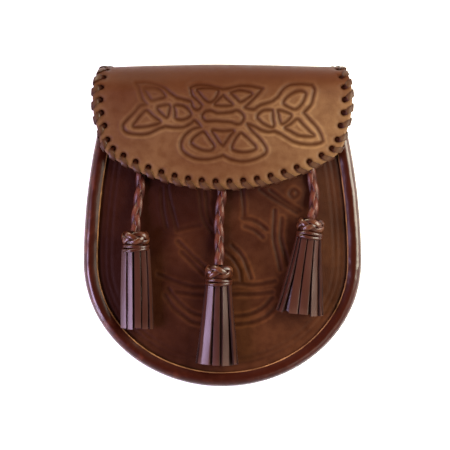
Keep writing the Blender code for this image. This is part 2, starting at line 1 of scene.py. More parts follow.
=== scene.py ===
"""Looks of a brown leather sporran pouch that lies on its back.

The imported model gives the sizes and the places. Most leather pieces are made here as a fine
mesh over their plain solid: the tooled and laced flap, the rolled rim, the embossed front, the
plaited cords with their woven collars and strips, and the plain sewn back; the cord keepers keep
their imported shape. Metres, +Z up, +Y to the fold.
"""

import logging
import math
from dataclasses import dataclass, field
from enum import Enum
from typing import Callable, Sequence

import bmesh
import bpy
import numpy as np
from mathutils import Matrix, Vector, noise
from mathutils.kdtree import KDTree


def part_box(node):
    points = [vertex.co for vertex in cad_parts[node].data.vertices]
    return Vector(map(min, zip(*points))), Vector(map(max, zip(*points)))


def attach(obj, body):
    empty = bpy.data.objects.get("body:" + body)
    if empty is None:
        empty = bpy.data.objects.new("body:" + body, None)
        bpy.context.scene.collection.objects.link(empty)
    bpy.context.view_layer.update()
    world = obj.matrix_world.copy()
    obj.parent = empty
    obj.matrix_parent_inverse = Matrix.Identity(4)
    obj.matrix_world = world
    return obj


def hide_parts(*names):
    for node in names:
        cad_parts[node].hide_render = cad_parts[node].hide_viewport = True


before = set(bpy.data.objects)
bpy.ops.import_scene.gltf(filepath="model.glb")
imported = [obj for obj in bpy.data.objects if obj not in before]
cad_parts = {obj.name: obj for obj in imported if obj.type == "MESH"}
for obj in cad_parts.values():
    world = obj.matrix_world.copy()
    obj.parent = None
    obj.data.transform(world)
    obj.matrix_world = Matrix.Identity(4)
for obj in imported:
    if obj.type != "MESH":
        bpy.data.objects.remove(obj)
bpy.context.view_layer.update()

MM = 0.001
UP = np.array([0.0, 0.0, 1.0])
DOWN = np.array([0.0, 0.0, -1.0])
SIDES = np.array([-1, 0, 1])
LOG = logging.getLogger("sporran")

Array = np.ndarray
Colour = tuple[float, float, float]
Pair = tuple[float, float]
Triple = tuple[float, float, float]
Value = bpy.types.NodeSocket | float
Placed = tuple[Array, Array, Array]


class Slot(Enum):
    """Material slots of the record."""

    MAHOGANY = "mahogany_leather"
    DARK_BROWN = "dark_brown_leather"
    TAN = "tan_leather"
    TASSEL = "tassel_leather"
    BRASS = "brass"


class Mark(Enum):
    """What a mesh tells its leather, point by point: its wear and painted light, and its dye and
    painted shade.
    """

    # The first mark carries the tooled lines' dye and painted shade; the second carries wear and
    # painted light.
    TOOLING = "tooling"
    RUB = "rub"


# Finishes


class Shader:
    """The nodes of one material, added a few at a time."""

    def __init__(self, name: str) -> None:
        """Starts a material with its shader.

        Args:
            name: the material's name.
        """
        self.material = bpy.data.materials.new(name)
        self.material.use_nodes = True
        self.tree = self.material.node_tree
        self.body = self.tree.nodes["Principled BSDF"]
        self.place = self.tree.nodes.new("ShaderNodeTexCoord").outputs["Object"]

    def node(self, kind: str, inputs: dict, **settings: str) -> bpy.types.Node:
        """Adds a node.

        Args:
            kind: the node's type, without its usual prefix.
            inputs: a number or a socket for each input, by name or by place.
            settings: the node's own options.

        Returns:
            The node.
        """
        made = self.tree.nodes.new("ShaderNode" + kind)
        for key, value in settings.items():
            setattr(made, key, value)
        for key, value in inputs.items():
            self.feed(made.inputs[key], value)
        return made

    def feed(self, socket: bpy.types.NodeSocket, value: Value | tuple) -> None:
        """Links a socket to another one, or sets its constant.

        Args:
            socket: the input to feed.
            value: a socket, a number, numbers or an opaque colour.
        """
        if isinstance(value, bpy.types.NodeSocket):
            self.tree.links.new(value, socket)
        elif isinstance(value, tuple) and len(value) < len(socket.default_value):
            socket.default_value = (*value, 1)
        else:
            socket.default_value = value

    def give(self, name: str, value: Value) -> None:
        """Feeds one of the inputs of the material's main shader."""
        self.feed(self.body.inputs[name], value)

    def noise(self, size: float, detail: float = 2.0, stretch: Triple = (1, 1, 1)) -> Value:
        """Cloudy noise.

        Args:
            size: size of the clouds in metres.
            detail: how many finer layers are added.
            stretch: how much the pattern is squeezed along each axis.

        Returns:
            The socket with a value from 0 to 1.
        """
        moved = self.node("Mapping", {"Vector": self.place, "Scale": tuple(stretch)})
        inputs = {"Vector": moved.outputs[0], "Scale": 1 / size, "Detail": detail}
        return self.node("TexNoise", inputs).outputs[0]

    def mix(self, factor: Value, low: Value | Colour, high: Value | Colour) -> Value:
        """A colour between low and high, as far along as the factor says."""
        return self.node("Mix", {0: factor, 6: low, 7: high}, data_type="RGBA").outputs[2]

    def span(self, value: Value, old: Pair, new: Pair) -> Value:
        """Value moved from the old range to the new one, and held inside it."""
        inputs = {0: value, 1: old[0], 2: old[1], 3: new[0], 4: new[1]}
        return self.node("MapRange", inputs).outputs[0]

    def math(self, operation: str, first: Value, second: Value) -> Value:
        """The result of a sum on two values."""
        return self.node("Math", {0: first, 1: second}, operation=operation).outputs[0]

    def mark(self, mark: Mark) -> Value:
        """What the mesh says at each point."""
        return self.node("Attribute", {}, attribute_name=mark.value).outputs["Fac"]

    def bump(self, height: Value, depth: float, strength: float,
             under: Value | None = None) -> Value:
        """A normal bent by a height, on top of another one.

        Args:
            height: the socket with the height, from 0 to 1.
            depth: real depth in metres.
            strength: share of it that shows.
            under: the normal below it.

        Returns:
            The socket with the normal.
        """
        inputs = {"Height": height, "Distance": depth, "Strength": strength}
        if under is not None:
            inputs["Normal"] = under
        return self.node("Bump", inputs).outputs[0]


@dataclass(frozen=True)
class Leather:
    """A dyed leather: deep dye in its tooled hollows and painted shade where marked dark, lighter with
    wear and painted light where marked light, grain and gloss.
    """

    name: str
    deep: Colour
    base: Colour
    light: Colour
    roughness: float = 0.45
    gloss: float = 0.2
    gloss_roughness: float = 0.25
    grain: float = 0.9 * MM
    grain_depth: float = 0.10 * MM
    drift: float = 0.5
    shine: float = 0.5
    stretch: Triple = (1, 1, 1)
    cloud_size: float = 26 * MM
    blotch_size: float = 5 * MM
    pore_size: float = 0.5 * MM
    cloud_share: float = 0.6
    tone_reach: float = 0.3
    rub_patches: Pair = (0.3, 0.6)
    rub_least: float = 0.6
    dye_and_shade_share: float = 0.85
    rough_less: float = 0.05
    rough_more: float = 0.07
    hollow_gloss: float = 0.1
    hollow_shine: float = 0.2
    pore_share: float = 0.35
    grain_share: float = 0.5
    blotch_relief: float = 4.0

    def material(self) -> bpy.types.Material:
        """Builds the material.

        Returns:
            The material.
        """
        shader = Shader(self.name)
        cloudy = shader.noise(self.cloud_size, 3, self.stretch)
        blotches = shader.noise(self.blotch_size, 4, self.stretch)
        pores = shader.noise(self.pore_size, 2, self.stretch)
        tone = shader.math("ADD", shader.math("MULTIPLY", cloudy, self.cloud_share),
                           shader.math("MULTIPLY", blotches, 1 - self.cloud_share))
        reach = self.tone_reach * self.drift
        tone = shader.span(tone, (0.5 - reach, 0.5 + reach), (0, 1))
        dark = tuple(0.5 * (a + b) for a, b in zip(self.deep, self.base))
        colour = shader.mix(shader.span(tone, (0, 1), (1 - self.drift, 1)), dark, self.base)
        patches = shader.span(blotches, self.rub_patches, (self.rub_least, 1))
        # The light mark mixes in the light colour: wear, and painted light where the mesh marks it.
        rub = shader.math("MULTIPLY", shader.mark(Mark.RUB), patches)
        colour = shader.mix(rub, colour, self.light)
        # The dark mark mixes in the deep colour: dye in tooled lines, and painted shade where the mesh
        # marks it.
        tooling = shader.mark(Mark.TOOLING)
        colour = shader.mix(shader.math("MULTIPLY", tooling, self.dye_and_shade_share), colour, self.deep)
        shader.give("Base Color", colour)
        smooth_to_rough = (self.roughness - self.rough_less, self.roughness + self.rough_more)
        shader.give("Roughness", shader.span(blotches, (0.3, 0.7), smooth_to_rough))
        cells = shader.node("TexVoronoi", {"Vector": shader.place, "Scale": 1 / self.grain},
                            feature="SMOOTH_F1").outputs["Distance"]
        fine = shader.bump(pores, self.grain_depth, self.pore_share)
        grained = shader.bump(cells, self.grain_depth, self.grain_share, fine)
        worn = shader.bump(blotches, self.blotch_relief * self.grain_depth, self.pore_share, grained)
        shader.give("Normal", worn)
        polish = shader.span(tooling, (0, 1), (self.gloss, self.hollow_gloss * self.gloss))
        shader.give("Coat Weight", polish)
        shader.give("Coat Roughness", self.gloss_roughness)
        shine = shader.span(tooling, (0, 1), (self.shine, self.hollow_shine * self.shine))
        shader.give("Specular IOR Level", shine)
        return shader.material


@dataclass(frozen=True)
class Suede:
    """The fuzzy flesh side of the leather, or its dry cut edge."""

    name: str
    dark: Colour
    light: Colour
    fibre: float = 0.35 * MM
    fibre_depth: float = 0.2 * MM
    cloud_size: float = 9 * MM
    roughness: float = 0.85
    shine: float = 0.15

    def material(self) -> bpy.types.Material:
        """Builds the material.

        Returns:
            The material.
        """
        shader = Shader(self.name)
        nap = shader.noise(self.fibre, 3)
        cloudy = shader.noise(self.cloud_size, 3)
        colour = shader.mix(shader.span(cloudy, (0.35, 0.65), (0, 1)), self.dark, self.light)
        colour = shader.mix(shader.span(nap, (0.4, 0.7), (0, 0.5)), colour, self.dark)
        shader.give("Base Color", colour)
        shader.give("Normal", shader.bump(nap, self.fibre_depth, 0.6))
        shader.give("Roughness", self.roughness)
        shader.give("Specular IOR Level", self.shine)
        return shader.material


@dataclass(frozen=True)
class Thread:
    """Waxed sewing thread."""

    name: str
    dark: Colour
    light: Colour
    twist: float = 0.5 * MM
    twist_depth: float = 0.1 * MM
    roughness: float = 0.5

    def material(self) -> bpy.types.Material:
        """Builds the material.

        Returns:
            The material.
        """
        shader = Shader(self.name)
        wave = shader.node("TexWave", {"Vector": shader.place, "Scale": 0.3 / self.twist},
                           bands_direction="DIAGONAL").outputs["Fac"]
        shader.give("Base Color", shader.mix(wave, self.dark, self.light))
        shader.give("Normal", shader.bump(wave, self.twist_depth, 0.5))
        shader.give("Roughness", self.roughness)
        return shader.material


@dataclass(frozen=True)
class Brass:
    """Dull brass of the hidden stud."""

    name: str
    bright: Colour
    dull: Colour
    tarnish_size: float = 2 * MM

    def material(self) -> bpy.types.Material:
        """Builds the material.

        Returns:
            The material.
        """
        shader = Shader(self.name)
        tarnish = shader.noise(self.tarnish_size, 4)
        shader.give("Base Color", shader.mix(tarnish, self.bright, self.dull))
        shader.give("Roughness", shader.span(tarnish, (0.3, 0.7), (0.25, 0.5)))
        shader.give("Metallic", 1.0)
        return shader.material


Finish = Leather | Suede | Thread | Brass

FLAP_LEATHER = Leather(
    "flap_leather", deep=(0.026, 0.0060, 0.0013), base=(0.060, 0.0166, 0.0042),
    light=(0.205, 0.114, 0.048), roughness=0.50, gloss=0.02, drift=0.45, shine=0.13,
)
LACE_LEATHER = Leather(
    "lacing_leather", deep=(0.024, 0.0055, 0.0024), base=(0.034, 0.0110, 0.0038),
    light=(0.090, 0.042, 0.017), roughness=0.44, gloss=0.05, grain=0.6 * MM, shine=0.18,
)
FRONT_LEATHER = Leather(
    "front_leather", deep=(0.006, 0.0015, 0.001), base=(0.021, 0.0040, 0.0013),
    light=(0.095, 0.031, 0.0100), roughness=0.44, gloss=0.02, drift=0.5, shine=0.08,
)
RIM_LEATHER = Leather(
    "rim_leather", deep=(0.024, 0.0041, 0.0016), base=(0.031, 0.0053, 0.0021),
    light=(0.11, 0.026, 0.011), roughness=0.40, gloss=0.62, gloss_roughness=0.24, shine=0.12,
)
GUSSET_LEATHER = Leather(
    "gusset_leather", deep=(0.022, 0.0038, 0.0015), base=(0.032, 0.0054, 0.0021),
    light=(0.11, 0.026, 0.011), roughness=0.46, gloss=0.06, shine=0.20,
)
CORD_LEATHER = Leather(
    "cord_leather", deep=(0.010, 0.002, 0.001), base=(0.043, 0.0070, 0.0033),
    light=(0.150, 0.042, 0.021), roughness=0.38, gloss=0.03, grain=0.5 * MM, shine=0.20,
)
COLLAR_LEATHER = Leather(
    "collar_leather", deep=(0.006, 0.0015, 0.001), base=(0.039, 0.0086, 0.0031),
    light=(0.14, 0.048, 0.016), roughness=0.28, gloss=0.34, grain=0.5 * MM, shine=0.2,
)
STRIP_LEATHER = Leather(
    "strip_leather", deep=(0.006, 0.0015, 0.001), base=(0.040, 0.0115, 0.0064),
    light=(0.085, 0.036, 0.025), roughness=0.36, gloss=0.19, gloss_roughness=0.28, shine=0.2,
    stretch=(1, 0.3, 1),
)
BACK_LEATHER = Leather(
    "back_leather", deep=(0.008, 0.002, 0.001), base=(0.042, 0.0125, 0.0052),
    light=(0.10, 0.04, 0.018), roughness=0.46, gloss=0.08, shine=0.35,
)
FLESH_SIDE = Suede("flesh_side", dark=(0.050, 0.022, 0.010), light=(0.105, 0.052, 0.026))
CUT_EDGE = Suede("cut_edge", dark=(0.045, 0.015, 0.007), light=(0.10, 0.042, 0.018))
RIM_EDGE = Suede("rim_cut_edge", dark=(0.13, 0.054, 0.019), light=(0.32, 0.155, 0.060))
STRIP_EDGE = Suede("strip_edge", dark=(0.012, 0.0035, 0.0027), light=(0.030, 0.010, 0.0075))
HOLE_EDGE = Suede("hole_edge", dark=(0.030, 0.008, 0.003), light=(0.060, 0.017, 0.006))
WAXED_THREAD = Thread("waxed_thread", dark=(0.020, 0.008, 0.004), light=(0.075, 0.034, 0.018))
STUD_BRASS = Brass("stud_brass", bright=(0.60, 0.42, 0.16), dull=(0.30, 0.19, 0.07))


# Meshes


def smooth(route: Array, step: float, closed: bool = False, places: int = 3) -> Array:
    """A smooth curve through points.

    Args:
        route: the points, a row each.
        step: about how far apart the new points are.
        closed: whether the curve returns to its start.
        places: how many of a row's numbers are a place.

    Returns:
        The new points, a row each.
    """
    route = np.asarray(route, float)
    if closed:
        ends = np.vstack([route[-1], route, route[0], route[1]])
    else:
        ends = np.vstack([2 * route[0] - route[1], route, 2 * route[-1] - route[-2]])
    points = []
    for before, a, b, after in zip(ends, ends[1:], ends[2:], ends[3:]):
        pieces = max(1, round(float(np.linalg.norm((b - a)[:places])) / step))
        t = (np.arange(pieces) / pieces)[:, None]
        bend = (2 * before - 5 * a + 4 * b - after) * t**2 + (3 * a - before - 3 * b + after) * t**3
        points.append((2 * a + (b - before) * t + bend) / 2)
    if not closed:
        points.append(route[-1:])
    return np.vstack(points)


def unit(vectors: Array) -> Array:
    """The vectors, each with a length of 1."""
    return vectors / np.maximum(np.linalg.norm(vectors, axis=-1, keepdims=True), 1e-12)


def lengths_along(line: Array) -> Array:
    """How long a line is up to each of its points."""
    return np.concatenate([[0], np.cumsum(np.linalg.norm(np.diff(line, axis=0), axis=1))])


def at_lengths(at: Array, lengths: Array, values: Array) -> Array:
    """The rows of values that a line has at some lengths, from those at its own points."""
    return np.stack([np.interp(at, lengths, column) for column in values.T], axis=1)


def bell(distance: Array, width: float, at: float = 0.0) -> Array:
    """A soft swell that is 1 at a distance and fades out to both sides of it."""
    return np.exp(-(((distance - at) / width) ** 2))


def ramp(value: Array, start: float, over: float) -> Array:
    """0 up to a start, and rising evenly to 1 over a span."""
    return np.clip((value - start) / over, 0, 1)


def section(sides: int, squareness: float = 1.0) -> Array:
    """Points round a strip's section, as shares of half its width and half its thickness.

    Args:
        sides: number of points.
        squareness: 1 for an oval, and less for a flatter strip.

    Returns:
        The points, a row each.
    """
    angles = 2 * math.pi * (np.arange(sides) + 0.5) / sides
    ring = np.stack([np.cos(angles), np.sin(angles)], axis=1)
    return np.sign(ring) * np.abs(ring) ** squareness


def strip_rings(centres: Array, ups: Array, width: Array | float,
                thickness: Array | float, ring: Array, closed: bool = False) -> Array:
    """Rings of points round a strip.

    Args:
        centres: the strip's middle line.
        ups: the way that its face looks at each point.
        width: its width, one or many.
        thickness: its thickness, one or many.
        ring: the section from section().
        closed: whether the line returns to its start.

    Returns:
        An array of rings, each an array of points.
    """
    if closed:
        along = np.roll(centres, -1, axis=0) - np.roll(centres, 1, axis=0)
    else:
        along = np.gradient(centres, axis=0)
    along = unit(along)
    ups = unit(ups - along * np.sum(ups * along, axis=1, keepdims=True))
    sides = np.cross(ups, along)
    half_width = np.broadcast_to(np.asarray(width) / 2, (len(centres),))[:, None, None]
    half_depth = np.broadcast_to(np.asarray(thickness) / 2, (len(centres),))[:, None, None]
    across = sides[:, None, :] * ring[None, :, 0:1] * half_width
    up = ups[:, None, :] * ring[None, :, 1:2] * half_depth
    return centres[:, None, :] + across + up


def face_rub(high: Array, ring: Array, share: float) -> Array:
    """How rubbed the points round a strip are.

    Args:
        high: how far each ring stands out, from 0 to 1.
        ring: the strip's section.
        share: how rubbed its face is where it stands out most.

    Returns:
        A value for each point, ring by ring.
    """
    return (high[:, None] * np.clip(ring[:, 1], 0, 1)[None, :] * share).reshape(-1)


class Nearness:
    """How far places in a plane are from a set of lines."""

    def __init__(self, lines: Sequence[Array]) -> None:
        """Sorts the lines' points.

        Args:
            lines: arrays of close points, x and y in a row.
        """
        points = np.vstack(lines)
        self.tree = KDTree(len(points))
        for index, (x, y) in enumerate(points):
            self.tree.insert((x, y, 0), index)
        self.tree.balance()

    def distances(self, x: Array, y: Array) -> Array:
        """Distance of each place to the nearest line."""
        return np.array([self.tree.find((a, b, 0))[2] for a, b in zip(x, y)])


@dataclass(frozen=True)
class Lumps:
    """Smooth unevenness: how much it does, the size of its lumps and the seed of its pattern."""

    strength: float
    size: float
    seed: float

    def at(self, points: Array) -> Array:
        """What it does at each point, from -strength to strength."""
        shift = Vector((self.seed, 2 * self.seed, 3 * self.seed))
        return self.strength * np.array([noise.noise(Vector(p) / self.size + shift) for p in points])


@dataclass(frozen=True)
class Patch:
    """A round place with a soft edge where something is stronger: its middle, reach and share."""

    x: float
    y: float
    reach: float
    share: float

    def at(self, points: Array) -> Array:
        """How much it does at each point."""
        return self.share * bell(np.hypot(points[:, 0] - self.x, points[:, 1] - self.y), self.reach)


def set_marks(mesh: bpy.types.Mesh, rub: Array, tooling: Array) -> None:
    """Writes on a mesh each point's wear and painted light, and its dye and painted shade."""
    for mark, values in ((Mark.RUB, rub), (Mark.TOOLING, tooling)):
        layer = mesh.attributes.new(mark.value, "FLOAT", "POINT")
        layer.data.foreach_set("value", values.astype(np.float32))


class Shape:
    """Points, faces and looks of one piece, added skin by skin."""

    def __init__(self) -> None:
        """Starts with nothing."""
        self.points: list[Array] = []
        self.faces: list[tuple[int, ...]] = []
        self.looks: list[int] = []
        self.rubs_and_lights: list[Array] = []
        self.dyes_and_shades: list[Array] = []
        self.count = 0

    def sweep(self, rings: Array, looks: Sequence[int] = (0,), looped: bool = False,
              end_look: int = 0, rub: Array | float = 0.0,
              tooling: Array | float = 0.0) -> None:
        """Adds a skin over rings of points, with its two ends closed.

        Args:
            rings: the rings, each an array of points.
            looks: the numbers of the materials round a ring, or one for all.
            looped: whether the last ring joins the first.
            end_look: the number of the ends' material.
            rub: each point's wear and painted light.
            tooling: each point's dye and painted shade.
        """
        count, around = rings.shape[:2]
        base, total, faces = self.count, count * around, []
        for i in range(count if looped else count - 1):
            low, high = base + i * around, base + (i + 1) % count * around
            for j in range(around):
                k = (j + 1) % around
                faces.append((low + j, low + k, high + k, high + j))
        around_looks = list(looks) * (around // len(looks))
        face_looks = around_looks * (len(faces) // around)
        if not looped:
            faces.append(tuple(range(base, base + around))[::-1])
            faces.append(tuple(range(base + total - around, base + total)))
            face_looks += [end_look] * 2
        self.faces += faces
        self.looks += face_looks
        self.points.append(rings.reshape(-1, 3))
        self.rubs_and_lights.append(np.broadcast_to(rub, (total,)))
        self.dyes_and_shades.append(np.broadcast_to(tooling, (total,)))
        self.count += total

    def piece(self, name: str, finishes: Sequence[Finish], slot: Slot, nodes: Sequence[str] = (),
              angle: float = 40.0) -> bpy.types.Object:
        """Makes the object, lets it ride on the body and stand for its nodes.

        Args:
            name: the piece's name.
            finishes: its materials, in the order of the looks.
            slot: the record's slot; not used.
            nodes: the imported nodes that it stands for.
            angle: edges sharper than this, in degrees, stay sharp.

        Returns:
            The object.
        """
        mesh = bpy.data.meshes.new(name)
        mesh.from_pydata(np.vstack(self.points).tolist(), [], self.faces)
        mesh.polygons.foreach_set("material_index", self.looks)
        set_marks(mesh, np.concatenate(self.rubs_and_lights), np.concatenate(self.dyes_and_shades))
        return place_mesh(mesh, finishes, nodes, angle)


def dressed(finish: Finish) -> bpy.types.Material:
    """The finish's material, built once."""
    return bpy.data.materials.get(finish.name) or finish.material()


def place_mesh(mesh: bpy.types.Mesh, finishes: Sequence[Finish], nodes: Sequence[str],
               angle: float) -> bpy.types.Object:
    """Puts a finished mesh in the scene as a piece.

    Args:
        mesh: the mesh, whose name the piece takes.
        finishes: its materials, in the order of the looks.
        nodes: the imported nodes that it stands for.
        angle: edges sharper than this, in degrees, stay sharp.

    Returns:
        The object.
    """
    mesh.validate()
    mesh.shade_smooth()
    mesh.set_sharp_from_angle(angle=math.radians(angle))
    made = bpy.data.objects.new(mesh.name, mesh)
    bpy.context.scene.collection.objects.link(made)
    for finish in finishes:
        mesh.materials.append(dressed(finish))
    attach(made, "root")
    if nodes:
        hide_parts(*nodes)
    LOG.info("%s: %d faces", mesh.name, len(mesh.polygons))
    return made


def dress_node(node: str, finish: Finish) -> None:
    """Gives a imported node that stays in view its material.

    Args:
        node: the node's name.
        finish: its finish.
    """
    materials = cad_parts[node].data.materials
    materials.clear()
    materials.append(dressed(finish))
    LOG.info("%s: kept", node)


class Sheet:
    """A sheet of leather cut flat, with a fine outer side and a plain inner side, then bent."""

    hole_sides = 20
    join_distance = 1e-6

    def __init__(self, grid: Array, thickness: float, cell: int) -> None:
        """Cuts the sheet.

        Args:
            grid: rows of columns of flat places on the outer side.
            thickness: thickness of the leather.
            cell: how many fine cells one cell of the inner side spans.
        """
        self.thickness = thickness
        rows, columns = grid.shape[:2]
        number = np.arange(rows * columns).reshape(rows, columns)
        faces = [
            (int(number[i, j]), int(number[i + 1, j]), int(number[i + 1, j + 1]),
             int(number[i, j + 1]))
            for i in range(rows - 1) for j in range(columns - 1)
        ]
        border = [*number[:, 0], *number[-1, 1:], *number[-2::-1, -1], *number[0, -2:0:-1]]
        under = {int(n): rows * columns + k for k, n in enumerate(border)}
        for k, n in enumerate(border):
            m = border[(k + 1) % len(border)]
            faces.append((int(m), int(n), under[int(n)], under[int(m)]))
        cuts_i = sorted({*range(0, rows, cell), rows - 1})
        cuts_j = sorted({*range(0, columns, cell), columns - 1})
        places = [*grid.reshape(-1, 2), *(grid.reshape(-1, 2)[n] for n in border)]
        for i in cuts_i:
            for j in cuts_j:
                if int(number[i, j]) not in under:
                    under[int(number[i, j])] = len(places)
                    places.append(grid[i, j])
        for i, next_i in zip(cuts_i, cuts_i[1:]):
            for j, next_j in zip(cuts_j, cuts_j[1:]):
                loop = self.cell_loop(number, (i, next_i), (j, next_j), under)
                faces.append(tuple(loop[::-1]))
        flat = np.zeros((len(places), 3))
        flat[:, :2] = np.array(places)
        flat[rows * columns:, 2] = -thickness
        self.shape = bmesh.new()
        corners = [self.shape.verts.new(point) for point in flat]
        for face in faces:
            self.shape.faces.new([corners[index] for index in face])
        bmesh.ops.remove_doubles(self.shape, verts=self.shape.verts, dist=self.join_distance)
        bmesh.ops.recalc_face_normals(self.shape, faces=self.shape.faces)

    def cell_loop(self, number: Array, rows: tuple[int, int], columns: tuple[int, int],
                  under: dict[int, int]) -> list[int]:
        """The inner side's points round one large cell, with all of the border's points on it.

        Args:
            number: the numbers of the outer side's points.
            rows: the cell's first and last row.
            columns: the cell's first and last column.
            under: the inner side's point below each outer one.

        Returns:
            The points' numbers, in their order round the cell.
        """
        (i, next_i), (j, next_j) = rows, columns
        ring = [(k, j) for k in range(i, next_i)]
        ring += [(next_i, k) for k in range(j, next_j)]
        ring += [(k, next_j) for k in range(next_i, i, -1)]
        ring += [(i, k) for k in range(next_j, j, -1)]
        last_i, last_j = number.shape[0] - 1, number.shape[1] - 1
        kept = []
        for a, b in ring:
            corner = a in rows and b in columns
            on_border = (a in (0, last_i) and a in rows) or (b in (0, last_j) and b in columns)
            if corner or on_border:
                kept.append(under[int(number[a, b])])
        return kept

    def punch(self, holes: Array, radius: float) -> None:
        """Punches round holes through the flat sheet.

        Args:
            holes: their middles, a row each.
            radius: their radius.
        """
        mesh = bpy.data.meshes.new("flat_sheet")
        self.shape.to_mesh(mesh)
        self.shape.free()
        flat = bpy.data.objects.new("flat_sheet", mesh)
        cutter_shape = bmesh.new()
        for x, y in holes:
            bmesh.ops.create_cone(
                cutter_shape, cap_ends=True, segments=self.hole_sides, radius1=radius,
                radius2=radius, depth=4 * self.thickness,
                matrix=Matrix.Translation((x, y, -self.thickness / 2)),
            )
        cutter_mesh = bpy.data.meshes.new("punch")
        cutter_shape.to_mesh(cutter_mesh)
        cutter_shape.free()
        punch = bpy.data.objects.new("punch", cutter_mesh)
        for made in (flat, punch):
            bpy.context.scene.collection.objects.link(made)
        cut = flat.modifiers.new("holes", "BOOLEAN")
        cut.operation = "DIFFERENCE"
        cut.object = punch
        bpy.context.view_layer.update()
        graph = bpy.context.evaluated_depsgraph_get()
        result = bpy.data.meshes.new_from_object(flat.evaluated_get(graph))
        self.shape = bmesh.new()
        self.shape.from_mesh(result)
        for made in (flat, punch):
            bpy.data.objects.remove(made, do_unlink=True)
        for old in (mesh, cutter_mesh, result):
            bpy.data.meshes.remove(old)

    def bend(self, name: str, place: Callable[..., Placed],
             walls: Callable[[Array], Array] | None = None) -> bpy.types.Mesh:
        """Bends the flat sheet, whose sides and cut edge have materials 0, 1 and 2.

        Args:
            name: the mesh's name.
            place: takes flat x, y and the height over the outer side, and gives the points, their wear
            and painted light, and their dye and painted shade.
            walls: takes the faces' flat middles, and gives the numbers of the materials that
                they would have on a cut edge.

        Returns:
            The mesh.
        """
        mesh = bpy.data.meshes.new(name)
        self.shape.to_mesh(mesh)
        self.shape.free()
        flat = np.zeros(len(mesh.vertices) * 3, np.float32)
        mesh.vertices.foreach_get("co", flat)
        flat = flat.reshape(-1, 3).astype(float)
        middles = np.zeros(len(mesh.polygons) * 3, np.float32)
        normals = middles.copy()
        mesh.polygons.foreach_get("center", middles)
        mesh.polygons.foreach_get("normal", normals)
        up = normals[2::3]
        wall = 2 if walls is None else walls(middles.reshape(-1, 3))
        numbers = np.where(up > 0.5, 0, np.where(up < -0.5, 1, wall))
        mesh.polygons.foreach_set("material_index", numbers.astype(np.int32))
        points, rub, tooling = place(flat[:, 0], flat[:, 1], flat[:, 2])
        mesh.vertices.foreach_set("co", points.reshape(-1).astype(np.float32))
        set_marks(mesh, rub, tooling)
        mesh.update()
        return mesh


# Camera, light and floor


@dataclass(frozen=True)
class Lamp:
    """A soft square lamp that looks at the pouch: its place, its side, its watts and its colour."""

    name: str
    place: Triple
    size: float
    power: float
    colour: Colour

    def build(self) -> None:
        """Hangs the lamp."""
        data = bpy.data.lights.new(self.name, "AREA")
        data.shape = "SQUARE"
        data.size = self.size
        data.energy = self.power
        data.color = self.colour
        made = bpy.data.objects.new(self.name, data)
        made.location = self.place
        made.rotation_euler = Vector(self.place).to_track_quat("Z", "Y").to_euler()
        bpy.context.scene.collection.objects.link(made)


